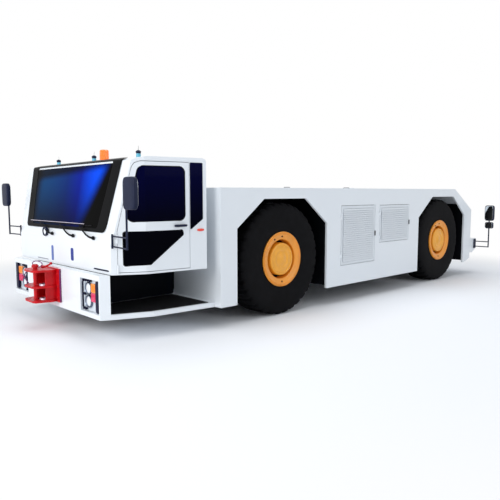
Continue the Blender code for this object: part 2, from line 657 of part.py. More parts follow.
def grown(outline, margin):
    """An outline (corners listed counter-clockwise) moved outward by margin."""
    made = []
    count = len(outline)
    for i in range(count):
        a, b, c = Vector(outline[i - 1]), Vector(outline[i]), Vector(outline[(i + 1) % count])
        n1 = Vector(((b - a).y, -(b - a).x)).normalized()
        n2 = Vector(((c - b).y, -(c - b).x)).normalized()
        made.append(tuple(b + (n1 + n2) * (margin / (1 + n1.dot(n2)))))
    return made


UPPER_Z = (1.298, 1.897)
upper_front = [screen_station(z) + PILLAR + WINDOW_FRAME for z in UPPER_Z]
UPPER_WINDOW = rounded([(upper_front[0], UPPER_Z[0]), (0.935, UPPER_Z[0]), (0.935, UPPER_Z[1]),
                        (upper_front[1], UPPER_Z[1])], 0.07, 3)
LOWER_WINDOW = rounded([(0.232, 0.828), (0.500, 0.832), (0.912, 1.145), (0.900, 1.200), (0.232, 1.200)],
                       0.025, 2)
PANE_LAP = 0.010            # the door's pane laps this far behind the edge of its upper window
PANE = [(0.224, 0.818), (0.520, 0.818), (0.945, 1.135), (0.945, UPPER_Z[1] + PANE_LAP),
        (upper_front[1] - PANE_LAP, UPPER_Z[1] + PANE_LAP),
        (upper_front[0] - PANE_LAP, UPPER_Z[0]), (0.224, 1.215)]
QUARTER_WINDOW = [(1.010, 1.202), (1.155, 1.308), (1.155, 1.932), (1.010, 1.932)]
MIRROR_ROOT = 0.140

hinge_low, hinge_high = 0.80, 1.12
DOOR_AXIS_STATION = DOOR_SEAM - CLEARANCE / 2
nose_way = Vector((CAB_BEND_HALF - CAB_NOSE_HALF, CAB_BEND - CAB_FRONT)).normalized()
NOSE_OUT = Vector((nose_way.y, -nose_way.x))
seam_x = CAB_NOSE_HALF + nose_way.x / nose_way.y * (DOOR_AXIS_STATION - CAB_FRONT)
DOOR_AXIS = Vector((seam_x, DOOR_AXIS_STATION)) + NOSE_OUT * (HINGE_R + HINGE_GAP)
DOOR_SKIN = 0.008           # the door's outer sheet, which fills its opening
DOOR_REBATE = 0.030         # the door's inner frame stands this far inside the edge of its sheet

cab = cab_solid("cab_frame", 0.0, CAB_BOTTOM_Z, ROOF_SPLIT_Z - GAP)
cut(cab, cab_solid("cab_hollow", CAB_WALL, CAB_BOTTOM_Z - 0.2, ROOF_SPLIT_Z + 0.2))
opening_plan = grown(door_outline, CLEARANCE)
for side_name, side in SIDES:
    x = span(CAB_NOSE_HALF - CAB_WALL, 1.70, side)
    cut(cab, prism("door_opening_" + side_name, opening_plan, "X", *x))
    cut(cab, prism("quarter_opening_" + side_name, QUARTER_WINDOW, "X", *x))

screen_low = SCREEN_FOOT_Z
SCREEN_BORDER = 0.045        # the glass laps this far over its opening
screen_hole = [(-SCREEN_HALF_FOOT + SCREEN_BORDER, screen_low + SCREEN_BORDER),
               (SCREEN_HALF_FOOT - SCREEN_BORDER, screen_low + SCREEN_BORDER),
               (SCREEN_HALF_TOP - SCREEN_BORDER, SCREEN_TOP_Z - SCREEN_BORDER),
               (-SCREEN_HALF_TOP + SCREEN_BORDER, SCREEN_TOP_Z - SCREEN_BORDER)]
cut(cab, prism("screen_opening", rounded(screen_hole, 0.08, 2), "Y", CAB_FRONT - 0.1, 0.5))
screen_outline = [(-SCREEN_HALF_FOOT, screen_low), (SCREEN_HALF_FOOT, screen_low),
                  (SCREEN_HALF_TOP, SCREEN_TOP_Z), (-SCREEN_HALF_TOP, SCREEN_TOP_Z)]
slab = [(screen_station(1.0, -GLASS - GAP), 1.0), (screen_station(1.0, -GAP), 1.0),
        (screen_station(2.0, -GAP), 2.0), (screen_station(2.0, -GLASS - GAP), 2.0)]
windscreen = prism("windscreen", slab, "X", -1.3, 1.3)
keep(windscreen, prism("screen_edge", rounded(screen_outline, 0.10, 3), "Y", -0.1, 0.6))
finish(windscreen, "glass")

REAR_WINDOW = (1.05, 1.25, 1.88)        # half-width, bottom, top
half, low, high = REAR_WINDOW
cut(cab, box("rear_opening", (-half, half), (CAB_REAR - 0.2, CAB_REAR + 0.1), (low, high)))
finish(box("rear_window", (-half + 0.001, half - 0.001), (CAB_REAR - 0.030, CAB_REAR - 0.030 + GLASS),
           (low + GAP, high - GAP)), "glass")

roof_side = [(screen_station(ROOF_SPLIT_Z), ROOF_SPLIT_Z), (CAB_REAR, ROOF_SPLIT_Z),
             (CAB_REAR - 0.012, ROOF_Z - 0.015),
             (CAB_REAR - 0.050, ROOF_Z), (0.480, ROOF_Z), (0.375, ROOF_Z - 0.016)]
roof = prism("cab_roof", roof_side, "X", -1.8, 1.8)
keep(roof, prism("roof_plan", cab_plan(0.0, CAB_FRONT - 0.1, CAB_REAR + 0.1), "Z", 1.8, 2.2))
POST_STATION = 0.62
for x in (-1.03, 0.0, 1.03):
    join(roof, rod("roof_post", (x, POST_STATION, ROOF_Z - 0.02),
                   (x, POST_STATION, ROOF_Z + 0.075), 0.025, 8))
BEACON_X = 0.26
finish(roof, "white_paint")
beacon = rod("beacon", (BEACON_X, POST_STATION, ROOF_Z + GAP), (BEACON_X, POST_STATION, ROOF_Z + 0.15), 0.062, 16)
finish(beacon, "amber")

for side_name, side in SIDES:
    name = "door_" + side_name
    x = span(CAB_NOSE_HALF - 2 * CAB_WALL, 1.70, side)
    door = side_sheet(name, door_outline, 0.0, DOOR_SKIN, side)
    inner_outline = grown(door_outline, -DOOR_REBATE)
    join(door, side_sheet(name + "_frame", inner_outline, DOOR_SKIN - 0.002, CAB_WALL, side))
    cut(door, prism(name + "_upper", UPPER_WINDOW, "X", *x), prism(name + "_lower", LOWER_WINDOW, "X", *x))
    for number, z in enumerate((hinge_low, hinge_high)):
        base, out = (side * seam_x, DOOR_AXIS_STATION), (side * NOSE_OUT.x, NOSE_OUT.y)
        join(door, hinge_half(f"{name}_hinge_{number}", "Z", base, out,
                              (side * nose_way.x, nose_way.y), z, z + BARREL))
        join(cab, hinge_half(f"cab_hinge_{side_name}_{number}", "Z", base, out,
                             (-side * nose_way.x, -nose_way.y), z - BARREL, z - HINGE_GAP))
    finish(door, "white_paint", (side * DOOR_AXIS.x, DOOR_AXIS.y, AXLE_Z))
    finish(side_sheet("door_glass_" + side_name, PANE, CAB_WALL + GAP, CAB_WALL + GAP + GLASS, side), "glass")
    quarter_outline = grown(QUARTER_WINDOW, -GAP)
    quarter = side_sheet("quarter_window_" + side_name, quarter_outline, 0.010, 0.010 + GLASS, side)
    finish(quarter, "glass")
finish(cab, "white_paint")

# Mirrors ------------------------------------------------------------------------------------

root_x = CAB_NOSE_HALF + nose_way.x / nose_way.y * (MIRROR_ROOT - CAB_FRONT)
for side_name, side in SIDES:
    bracket = box("mirror_front_" + side_name, span(root_x + GAP, root_x + 0.016, side),
                  (0.118, MIRROR_ROOT), (1.02, 1.18))
    for z in (1.045, 1.155):
        join(bracket, rod("arm", (side * (root_x + 0.008), 0.134, z), (side * 1.560, 0.090, z), 0.010, 8))
    join(bracket, rod("mirror_rod", (side * 1.555, 0.091, 1.03), (side * 1.555, 0.091, 1.70), 0.012, 8))
    join(bracket, box("head", span(1.530, 1.790, side), (0.055, 0.140), (1.435, 1.766)))
    finish(bracket, "navy_plastic")

    root_station = BODY_REAR + 0.20
    mast_x = 1.845
    foot = box("mirror_rear_" + side_name, span(BODY_HALF_WIDTH + GAP, BODY_HALF_WIDTH + 0.02, side),
               (root_station - 0.05, root_station + 0.03), (0.50, 0.69))
    for z in (0.54, 0.64):
        join(foot, rod("arm", (side * (BODY_HALF_WIDTH + 0.01), root_station, z),
                       (side * (mast_x + 0.005), root_station, z), 0.010, 8))
    join(foot, rod("mast", (side * mast_x, root_station, 0.53), (side * mast_x, root_station, 1.30), 0.012, 8))
    join(foot, box("head", span(mast_x - 0.09, mast_x + 0.09, side),
                   (root_station - 0.03, root_station + 0.045), (1.05, 1.355)))
    join(foot, box("low_head", span(mast_x - 0.08, mast_x + 0.08, side),
                   (root_station - 0.025, root_station + 0.04), (0.90, 1.03)))
    finish(foot, "navy_plastic")

# Inside the cab --------------------------------------------------------------------------------

seat_base = floor_top + GAP
for side_name, side in SIDES:
    name = "driver_seat" if side_name == "left" else "passenger_seat"
    profile = [(0.70, seat_base), (1.02, seat_base), (1.02, 1.05), (1.12, 1.60), (1.04, 1.62), (0.95, 1.18),
               (0.62, 1.17), (0.62, 1.06), (0.70, 1.05)]
    finish(prism(name, profile, "X", *span(0.42, 0.92, side)), "seat")
dash_front = CAB_FRONT + inner_wall
dash_outline = [(0.1905, floor_top + GAP), (0.38, floor_top + GAP), (0.46, 1.02), (0.44, 1.10), (0.2205, 1.14),
                (dash_front + 0.002, 1.05), (dash_front, 1.0), (dash_front, 0.90)]
finish(prism("dashboard", dash_outline, "X", -1.05, 1.05), "black_frame")
column = rod("steering_wheel", (0.67, 0.50, seat_base), (0.67, 0.50, 1.15), 0.030, 10)
column_top = Vector((0.67, 0.50, 1.13))
hub = Vector((0.67, 0.54, 1.30))
way = (hub - column_top).normalized()
join(column, rod("column_head", column_top, hub, 0.022, 10),
     rod("wheel_disc", hub - way * 0.01, hub + way * 0.02, 0.20, 20))
finish(column, "black_frame")
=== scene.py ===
# %% [markdown]
# # An aircraft pushback tractor
# The construction is finished before this script starts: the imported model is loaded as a
# frame that may not be moved. This lesson only adds looks. Every new shape is a surface
# worked out with numpy, because whole arrays of points are quick to make and easy to read.

import math

import bmesh
import bpy
import numpy as np
from mathutils import Matrix, Vector


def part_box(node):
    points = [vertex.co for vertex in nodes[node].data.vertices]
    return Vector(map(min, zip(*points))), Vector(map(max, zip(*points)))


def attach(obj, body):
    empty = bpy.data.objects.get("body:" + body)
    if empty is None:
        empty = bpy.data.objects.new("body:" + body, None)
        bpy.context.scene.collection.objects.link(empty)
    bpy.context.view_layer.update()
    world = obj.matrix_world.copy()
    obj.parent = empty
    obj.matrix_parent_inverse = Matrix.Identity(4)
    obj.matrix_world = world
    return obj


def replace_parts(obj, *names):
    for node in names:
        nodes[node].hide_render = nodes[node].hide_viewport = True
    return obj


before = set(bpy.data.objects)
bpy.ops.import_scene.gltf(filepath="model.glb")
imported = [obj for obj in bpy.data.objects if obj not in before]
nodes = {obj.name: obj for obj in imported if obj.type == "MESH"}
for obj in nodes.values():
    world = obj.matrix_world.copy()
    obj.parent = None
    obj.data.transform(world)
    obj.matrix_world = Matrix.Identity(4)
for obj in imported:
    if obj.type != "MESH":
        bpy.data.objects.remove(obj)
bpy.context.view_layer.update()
SIDES = (("left", 1), ("right", -1))
START_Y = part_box("front_bumper")[0].y       # the bumper's front face
BODY_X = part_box("side_panel_left")[1].x
ROOF_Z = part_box("beacon")[0].z
DECK_TOP = 1.667                            # the hatch lies flush with the deck
AXLE_Z = 0.74                               # the axles' height, which is the tyre's radius
CAB_FLOOR = 0.7785                          # just over the cab's floor plate
SEAT_X = 0.67                               # the seats' distance from the middle
print("nodes", len(nodes), "body half-width", round(BODY_X, 3))


def at(x, station, z):
    """A point from its side offset, its distance behind the bumper's face and its height."""
    return np.stack(np.broadcast_arrays(np.asarray(x, float), np.asarray(station, float) + START_Y,
                                        np.asarray(z, float)), -1)


# %% [markdown]
# ## Finishes
# Each finish is a Principled shader whose colour drifts a little with a noise texture on
# Object coordinates, so that no surface is one flat colour. A helper makes them all, and
# the numbers that differ are kept in one call for each finish.

# %% A finish with slow drift and fine bump
def finish(name, colour, roughness, metallic=0.0, drift=0.06, scale=3.0, bump=0.0, bump_scale=60.0,
           coat=0.0, emission=None, shine=0.5):
    """Makes a Principled material; its colour drifts by `drift` between two close tones."""
    made = bpy.data.materials.new(name)
    made.use_nodes = True
    tree = made.node_tree
    shader = tree.nodes["Principled BSDF"]
    shader.inputs["Roughness"].default_value = roughness
    shader.inputs["Metallic"].default_value = metallic
    shader.inputs["Coat Weight"].default_value = coat
    shader.inputs["Coat Roughness"].default_value = 0.08
    shader.inputs["Specular IOR Level"].default_value = shine
    if emission:
        shader.inputs["Emission Color"].default_value = (*emission[0], 1)
        shader.inputs["Emission Strength"].default_value = emission[1]
    place = tree.nodes.new("ShaderNodeTexCoord")
    noise = tree.nodes.new("ShaderNodeTexNoise")
    noise.inputs["Scale"].default_value = scale
    noise.inputs["Detail"].default_value = 6
    tree.links.new(place.outputs["Object"], noise.inputs["Vector"])
    ramp = tree.nodes.new("ShaderNodeValToRGB")
    low = [max(0.0, c * (1 - drift)) for c in colour]
    ramp.color_ramp.elements[0].position = 0.35
    ramp.color_ramp.elements[1].position = 0.65
    ramp.color_ramp.elements[0].color = (*low, 1)
    ramp.color_ramp.elements[1].color = (*colour, 1)
    tree.links.new(noise.outputs["Fac"], ramp.inputs["Fac"])
    tree.links.new(ramp.outputs["Color"], shader.inputs["Base Color"])
    if bump:
        fine = tree.nodes.new("ShaderNodeTexNoise")
        fine.inputs["Scale"].default_value = bump_scale
        fine.inputs["Detail"].default_value = 4
        tree.links.new(place.outputs["Object"], fine.inputs["Vector"])
        lift = tree.nodes.new("ShaderNodeBump")
        lift.inputs["Strength"].default_value = bump
        lift.inputs["Distance"].default_value = 0.002
        tree.links.new(fine.outputs["Fac"], lift.inputs["Height"])
        tree.links.new(lift.outputs["Normal"], shader.inputs["Normal"])
    return made


WHITE = finish("white_paint", (0.80, 0.84, 0.88), 0.32, drift=0.025, scale=0.8, bump=0.03, bump_scale=220,
               coat=0.35)
LOUVRE = finish("louvre_paint", (0.74, 0.78, 0.82), 0.38, drift=0.03, scale=1.2, bump=0.03, bump_scale=220,
                coat=0.2)
BLACK = finish("black_chassis_paint", (0.0025, 0.003, 0.005), 0.55, drift=0.4, scale=5, bump=0.15,
               bump_scale=90, shine=0.08)
RUBBER = finish("tyre_rubber", (0.0045, 0.0045, 0.0055), 0.75, drift=0.35, scale=9, bump=0.35, bump_scale=160,
                shine=0.08)
ORANGE = finish("rim_enamel", (0.90, 0.33, 0.02), 0.38, drift=0.12, scale=7, bump=0.08, bump_scale=120,
                coat=0.25)
AMBER_DISC = finish("hub_enamel", (0.92, 0.40, 0.02), 0.40, drift=0.10, scale=9, bump=0.08, bump_scale=120,
                    coat=0.2)
RED = finish("hitch_red", (0.60, 0.002, 0.008), 0.42, drift=0.22, scale=9, bump=0.25, bump_scale=70,
             coat=0.15, shine=0.22)
STEEL = finish("machined_steel", (0.32, 0.33, 0.35), 0.35, metallic=0.9, drift=0.15, scale=14, bump=0.15)
IRON = finish("cast_iron", (0.05, 0.05, 0.055), 0.6, metallic=0.4, drift=0.3, scale=12, bump=0.4,
              bump_scale=50)
NAVY = finish("navy_moulding", (0.012, 0.017, 0.045), 0.42, drift=0.2, scale=15, bump=0.12, bump_scale=300,
              shine=0.14)
GASKET = finish("black_rubber_trim", (0.006, 0.006, 0.008), 0.6, drift=0.3, scale=20, bump=0.1, shine=0.1)
MIRROR = finish("mirror_silver", (0.75, 0.80, 0.84), 0.04, metallic=1.0, drift=0.02)
BLUE_POST = finish("pale_blue_plastic", (0.10, 0.45, 0.62), 0.35, drift=0.08, scale=20)
AMBER = finish("amber_lens", (1.0, 0.20, 0.01), 0.22, drift=0.12, scale=25, coat=0.5,
               emission=((1.0, 0.16, 0.0), 0.35))
ORANGE_LENS = finish("orange_lens", (1.0, 0.33, 0.04), 0.2, drift=0.10, scale=40, coat=0.6)
PINK_LENS = finish("red_lens", (0.80, 0.05, 0.16), 0.2, drift=0.12, scale=40, coat=0.6)
LAMP_GLASS = finish("lamp_reflector", (0.86, 0.90, 0.94), 0.12, metallic=0.35, drift=0.06, scale=30, coat=0.8)
SEAT = finish("seat_cloth", (0.030, 0.032, 0.040), 0.85, drift=0.3, scale=30, bump=0.5, bump_scale=500)
VINYL = finish("dashboard_vinyl", (0.035, 0.037, 0.045), 0.6, drift=0.2, scale=18, bump=0.3, bump_scale=260)
MAT = finish("step_mat_rubber", (0.012, 0.012, 0.014), 0.8, drift=0.3, scale=30, bump=0.4, bump_scale=200,
             shine=0.1)
TAIL_RED = finish("tail_lens_red", (0.60, 0.006, 0.010), 0.2, drift=0.12, scale=40, coat=0.6)
MARKER = finish("marker_lens", (0.95, 0.035, 0.004), 0.25, drift=0.15, scale=60, coat=0.5)
BAND_BLACK = finish("printed_band", (0.0015, 0.0016, 0.0025), 0.35, drift=0.3, scale=6, shine=0.04)
# A pale pinkish metal that stands for painted glints on the wipers and in the hitch jaws.
PAINTED_GLINT = finish("painted_glint_pale", (0.80, 0.72, 0.84), 0.30, metallic=0.55, drift=0.10, scale=40, bump=0.1)
CHROME = finish("lamp_bezel", (0.16, 0.19, 0.25), 0.25, metallic=0.9, drift=0.05, scale=20)
CASE_WHITE = finish("lamp_case", (0.66, 0.72, 0.78), 0.30, drift=0.06, scale=14, coat=0.3)
GUARD_NAVY = finish("lamp_guard_navy", (0.004, 0.005, 0.030), 0.40, drift=0.25, scale=18, bump=0.1,
                    bump_scale=240, shine=0.12)
BAR_BLUE = finish("nose_bar_blue", (0.018, 0.035, 0.26), 0.40, drift=0.12, scale=16, coat=0.2, shine=0.1)
BAR_PALE = finish("nose_bar_pale_blue", (0.11, 0.17, 0.47), 0.42, drift=0.12, scale=16, coat=0.2, shine=0.1)
# The grey of a painted shadow line along the nose.
SHADOW_LINE_GREY = finish("nose_painted_shadow_grey", (0.30, 0.31, 0.36), 0.5, drift=0.15, scale=20)
PURPLE_CORD = finish("purple_sleeve", (0.16, 0.006, 0.13), 0.45, drift=0.2, scale=40, bump=0.2,
                     bump_scale=300)
# Black with a wide, slow drift: painted shade in the recesses under the doors.
RECESS_SHADE_BLACK = finish("step_liner_black", (0.0025, 0.004, 0.008), 0.42, drift=0.5, scale=2.2, bump=0.12,
               bump_scale=80, shine=0.05)
print("finishes", len(bpy.data.materials))

# %% [markdown]
# The glass is tinted and coated, so it reflects little. The windscreen is a deep blue tint, and
# its base colour also carries a painted reflection of the sky: brightest high up on one side,
# falling to black along a slanted edge and dimmer towards the foot. Three smooth Map Range masks
# on Object coordinates are multiplied and dim the colour of a ramp. The side glass is a plain dark
# tint that runs from one colour at its foot to another at its top.

# %% Tinted glass with a painted reflection on the windscreen
def tinted(name, low_colour, high_colour, low_z, high_z, transmission):
    """A glass whose tint runs from one colour at a low height to another at a high one."""
    made = bpy.data.materials.new(name)
    made.use_nodes = True
    tree = made.node_tree
    shader = tree.nodes["Principled BSDF"]
    shader.inputs["Roughness"].default_value = 0.05
    shader.inputs["IOR"].default_value = 1.07
    shader.inputs["Transmission Weight"].default_value = transmission
    place = tree.nodes.new("ShaderNodeTexCoord")
    split = tree.nodes.new("ShaderNodeSeparateXYZ")
    tree.links.new(place.outputs["Object"], split.inputs["Vector"])
    height = tree.nodes.new("ShaderNodeMapRange")
    height.inputs["From Min"].default_value = low_z
    height.inputs["From Max"].default_value = high_z
    tree.links.new(split.outputs["Z"], height.inputs["Value"])
    ramp = tree.nodes.new("ShaderNodeValToRGB")
    ramp.color_ramp.interpolation = "EASE"
    ramp.color_ramp.elements[0].color = (*low_colour, 1)
    ramp.color_ramp.elements[1].color = (*high_colour, 1)
    tree.links.new(height.outputs["Result"], ramp.inputs["Fac"])
    tree.links.new(ramp.outputs["Color"], shader.inputs["Base Color"])
    return made


def screen_tint_and_painted_reflection():
    """Deep blue glass with a painted sky reflection: left, slanted right and upper masks and the height dim a
    side-to-side ramp.
    """
    made = tinted("windscreen_glass", (0, 0, 0), (0, 0, 0), 0, 1, 0.12)
    tree = made.node_tree
    shader = tree.nodes["Principled BSDF"]
    split = next(node for node in tree.nodes if node.type == "SEPXYZ")

    def mask(value, low, high, floor=0.0, top=1.0):
        ranged = tree.nodes.new("ShaderNodeMapRange")
        ranged.interpolation_type = "SMOOTHSTEP"
        for socket, number in zip(("From Min", "From Max", "To Min", "To Max"), (low, high, floor, top)):
            ranged.inputs[socket].default_value = number
        tree.links.new(value, ranged.inputs["Value"])
        return ranged.outputs["Result"]

    def maths(kind, first, second):
        node = tree.nodes.new("ShaderNodeMath")
        node.operation = kind
        for socket, value in zip(node.inputs, (first, second)):
            if isinstance(value, (int, float)):
                socket.default_value = value
            else:
                tree.links.new(value, socket)
        return node.outputs[0]

    # The masks and the ramp paint a sky reflection into the base colour: bright high on one side, dark past a
    # slanted edge, with painted shade towards the foot.
    across, up = split.outputs["X"], split.outputs["Z"]
    slanted = maths("ADD", across, maths("MULTIPLY", maths("SUBTRACT", 1.90, up), 0.62))
    under_top = maths("SUBTRACT", up, maths("MULTIPLY", across, 0.055))
    shade = maths("MULTIPLY", mask(across, -1.0, -0.72), mask(slanted, 0.98, 0.72))
    shade = maths("MULTIPLY", shade, mask(under_top, 1.905, 1.80, 0.12, 1.0))
    shade = maths("MULTIPLY", shade, mask(up, 1.16, 1.86, 0.16, 1.0))
    ramp = tree.nodes.new("ShaderNodeValToRGB")
    ramp.color_ramp.elements[0].color = (0.0, 0.050, 0.17, 1)
    ramp.color_ramp.elements[1].color = (0.0, 0.085, 0.95, 1)
    for share, colour in ((0.45, (0.0, 0.022, 0.17, 1)), (0.75, (0.0, 0.012, 0.30, 1))):
        ramp.color_ramp.elements.new(share).color = colour
    tree.links.new(mask(across, -0.85, 0.85), ramp.inputs["Fac"])
    dimmed = tree.nodes.new("ShaderNodeVectorMath")
    dimmed.operation = "SCALE"
    tree.links.new(ramp.outputs["Color"], dimmed.inputs[0])
    tree.links.new(shade, dimmed.inputs["Scale"])
    tree.links.new(dimmed.outputs[0], shader.inputs["Base Color"])
    return made


SCREEN_GLASS = screen_tint_and_painted_reflection()
SIDE_GLASS = tinted("side_glass", (0.0008, 0.0009, 0.003), (0.0010, 0.0014, 0.030), 1.1, 2.0, 0.12)


def on_both_sides(*names):
    """Each name with its left and its right ending."""
    return [f"{name}_{side_name}" for name in names for side_name, _ in SIDES]


PAINTED = (
    (WHITE, ["deck", "front_wall", "rear_wall", "engine_hatch", "front_bumper", "cab_frame", "cab_roof"]),
    (WHITE, on_both_sides("side_panel", "step", "rear_bumper", "door")),
    (BLACK, ["front_wheel_box", "rear_wheel_box", "front_axle", "rear_axle", "cab_subframe"]),
    (IRON, ["engine_block"] + on_both_sides("knuckle_front", "knuckle_rear")),
    (RED, ["front_hitch", "rear_hitch", "front_hitch_pin"]),
    (SCREEN_GLASS, ["windscreen"]),
    (SIDE_GLASS, ["rear_window"] + on_both_sides("quarter_window")),
    (VINYL, ["dashboard"]),
    (LOUVRE, on_both_sides("louvre_door_main", "louvre_door_aft")))
for paint, names in PAINTED:
    for name in names:
        mesh = nodes[name].data
        mesh.materials.clear()
        mesh.materials.append(paint)
print("painted the construction's own nodes")

# %% [markdown]
# ## Surfaces from grids
# A new piece is one or more sheets: a grid of points with two parameters, closed or open
# each way. One helper turns the grid into faces with whole-array index sums, and a second
# joins several grids into one mesh. Small helpers turn, cap and measure them.

# %% Grids of points to meshes
def grid_faces(rows, columns, close_rows, close_columns):
    """Quads between neighbouring points of a grid: four shifted copies of the index table."""
    index = np.arange(rows * columns).reshape(rows, columns)
    if close_rows:
        index = np.vstack([index, index[:1]])
    if close_columns:
        index = np.hstack([index, index[:, :1]])
    quads = np.stack([index[:-1, :-1], index[1:, :-1], index[1:, 1:], index[:-1, 1:]], -1)
    return quads.reshape(-1, 4)


def surface(name, sheets, paint, body, smooth=40):
    """Joins sheets (points, close_rows, close_columns) into one welded object on a body."""
    points, faces, start = [], [], 0
    for grid, close_rows, close_columns in sheets:
        rows, columns = grid.shape[:2]
        points.append(grid.reshape(-1, 3))
        faces.append(grid_faces(rows, columns, close_rows, close_columns) + start)
        start += rows * columns
    mesh = bpy.data.meshes.new(name)
    mesh.from_pydata(np.concatenate(points).tolist(), [], np.concatenate(faces).tolist())
    obj = bpy.data.objects.new(name, mesh)
    bpy.context.scene.collection.objects.link(obj)
    work = bmesh.new()
    work.from_mesh(mesh)
    bmesh.ops.remove_doubles(work, verts=work.verts, dist=0.00002)
    bmesh.ops.dissolve_degenerate(work, edges=work.edges, dist=0.00002)
    bmesh.ops.recalc_face_normals(work, faces=work.faces)
    work.to_mesh(mesh)
    work.free()
    mesh.materials.append(paint)
    mesh.shade_smooth()
    mesh.set_sharp_from_angle(angle=math.radians(smooth))
    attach(obj, body)
    print(name, len(mesh.polygons), "faces")
    return obj


def turned(profile, centre, axis=(1, 0, 0), count=64):
    """A profile of (radius, distance along the axis) swept round the axis: a closed sheet."""
    profile = np.asarray(profile, float)
    axis = np.asarray(axis, float) / np.linalg.norm(axis)
    helper = np.array((0, 0, 1.0)) if abs(axis[2]) < 0.9 else np.array((0, 1.0, 0))
    across = np.cross(axis, helper)
    across /= np.linalg.norm(across)
    up = np.cross(axis, across)
    turn = np.linspace(0, 2 * np.pi, count, endpoint=False)
    ring = np.cos(turn)[:, None] * across + np.sin(turn)[:, None] * up
    grid = (np.asarray(centre, float) + profile[None, :, 0, None] * ring[:, None, :]
            + profile[None, :, 1, None] * axis)
    return grid, True, False


def circles(way, guide, sides):
    """Unit circles square to each direction of a path; the guide settles where each one starts."""
    way = way / np.linalg.norm(way, axis=1, keepdims=True)
    side = np.cross(way, guide)
    side /= np.linalg.norm(side, axis=1, keepdims=True)
    up = np.cross(way, side)
    turn = np.linspace(0, 2 * np.pi, sides, endpoint=False)
    return np.cos(turn)[None, :, None] * side[:, None] + np.sin(turn)[None, :, None] * up[:, None]


def capped(section):
    """Closes both ends of an open sheet: a last ring at each end shrinks to its middle."""
    ends = [np.repeat(section[i].mean(0)[None, None], section.shape[1], 1) for i in (0, -1)]
    return np.concatenate([ends[0], section, ends[1]]), False, True


def run_length(points):
    """Distance along a line of points, from nought at its first one."""
    return np.concatenate([[0], np.cumsum(np.hypot(*np.diff(points, axis=0).T))])


def tube(path, radius, sides=10):
    """A round section carried along a path: each ring stands square to the path there."""
    path = np.asarray(path, float)
    radius = np.broadcast_to(np.asarray(radius, float), (len(path),))
    body = path[:, None] + circles(np.gradient(path, axis=0), (0.13, 0.21, 0.97), sides) * radius[:, None,
                                                                                                  None]
    ends = np.concatenate([np.repeat(path[:1, None], sides, 1), body, np.repeat(path[-1:, None], sides, 1)])
    return ends, False, True


def pill(low, high, power=5.0, rows=24, columns=32):
    """A rounded block: a sphere whose sine and cosine are raised to 2/power on each axis."""
    low, high = np.asarray(low, float), np.asarray(high, float)
    v = np.linspace(-np.pi / 2, np.pi / 2, rows)[:, None]
    u = np.linspace(0, 2 * np.pi, columns, endpoint=False)[None, :]
    soft = lambda value: np.sign(value) * np.abs(value) ** (2 / power)
    unit = np.stack(np.broadcast_arrays(soft(np.cos(v)) * soft(np.cos(u)),
                                        soft(np.cos(v)) * soft(np.sin(u)), soft(np.sin(v))), -1)
    return (low + high) / 2 + unit * (high - low) / 2, False, True


# %% [markdown]
# ## Tyres
# A heavy tyre is a closed section carried round the axle. The section is a rounded bar; the
# tread comes from a pattern that lowers the outer surface between slanted lugs. The radius
# equals the axle's height, so that the tyre just meets the ground.

# %% Tyres
TREAD_DEPTH = 0.016
LUGS = 34


def tyre_section(count):
    """Half-widths and radii round the tyre's section, from one bead over the tread to the other."""
    bead, wide, crown = 0.3178, 0.215, 0.1945
    keys = np.array([(bead, crown), (0.352, crown), (0.372, 0.199), (0.42, 0.206), (0.50, 0.213),
                     (0.58, wide),
                     (0.645, 0.212), (0.690, 0.203), (0.715, 0.193), (0.731, 0.178), (0.738, 0.160),
                     (0.7395, 0.10), (AXLE_Z, 0.0)])
    keys = np.vstack([keys, keys[-2::-1] * (1, -1)])
    along = run_length(keys)
    place = np.linspace(0, along[-1], count)
    return np.interp(place, along, keys[:, 0]), np.interp(place, along, keys[:, 1])


def tyre(name, centre, body, node):
    """The tyre's sheet: the section round the axle, lowered between the lugs of the tread."""
    radius, width = tyre_section(64)
    turn = np.linspace(0, 2 * np.pi, 408, endpoint=False)[:, None]
    slant = width[None, :] * 5.0 * np.sign(width[None, :])
    phase = (turn * LUGS / (2 * np.pi) + slant * 0.30) % 1.0
    groove = np.clip((np.abs(phase - 0.5) - 0.30) / 0.06, 0, 1)
    centre_band = np.clip((0.012 - np.abs(width[None, :])) / 0.006, 0, 1)
    outer = np.clip((radius[None, :] - 0.690) / 0.03, 0, 1)
    drop = TREAD_DEPTH * outer * np.maximum(groove, centre_band)
    ribs = sum(0.002 * np.exp(-((radius[None, :] - height) / 0.006) ** 2) for height in (0.655, 0.41))
    r = radius[None, :] - drop
    u = width[None, :] * (1 + ribs / 0.2)
    grid = np.stack(np.broadcast_arrays(centre[0] + u + 0 * turn, centre[1] + r * np.cos(turn),
                                        centre[2] + r * np.sin(turn)), -1)
    made = surface(name, [(grid, True, True)], RUBBER, body, smooth=32)
    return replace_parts(made, node)


wheel_centres = {}
for end in ("front", "rear"):
    for side_name, side in SIDES:
        low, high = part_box(f"tyre_{end}_{side_name}")
        centre = np.array([(low[i] + high[i]) / 2 for i in range(2)] + [AXLE_Z])
        wheel_centres[end, side_name] = centre
        tyre(f"tyre_with_tread_{end}_{side_name}", centre, f"wheel_{end}_{side_name}",
             f"tyre_{end}_{side_name}")
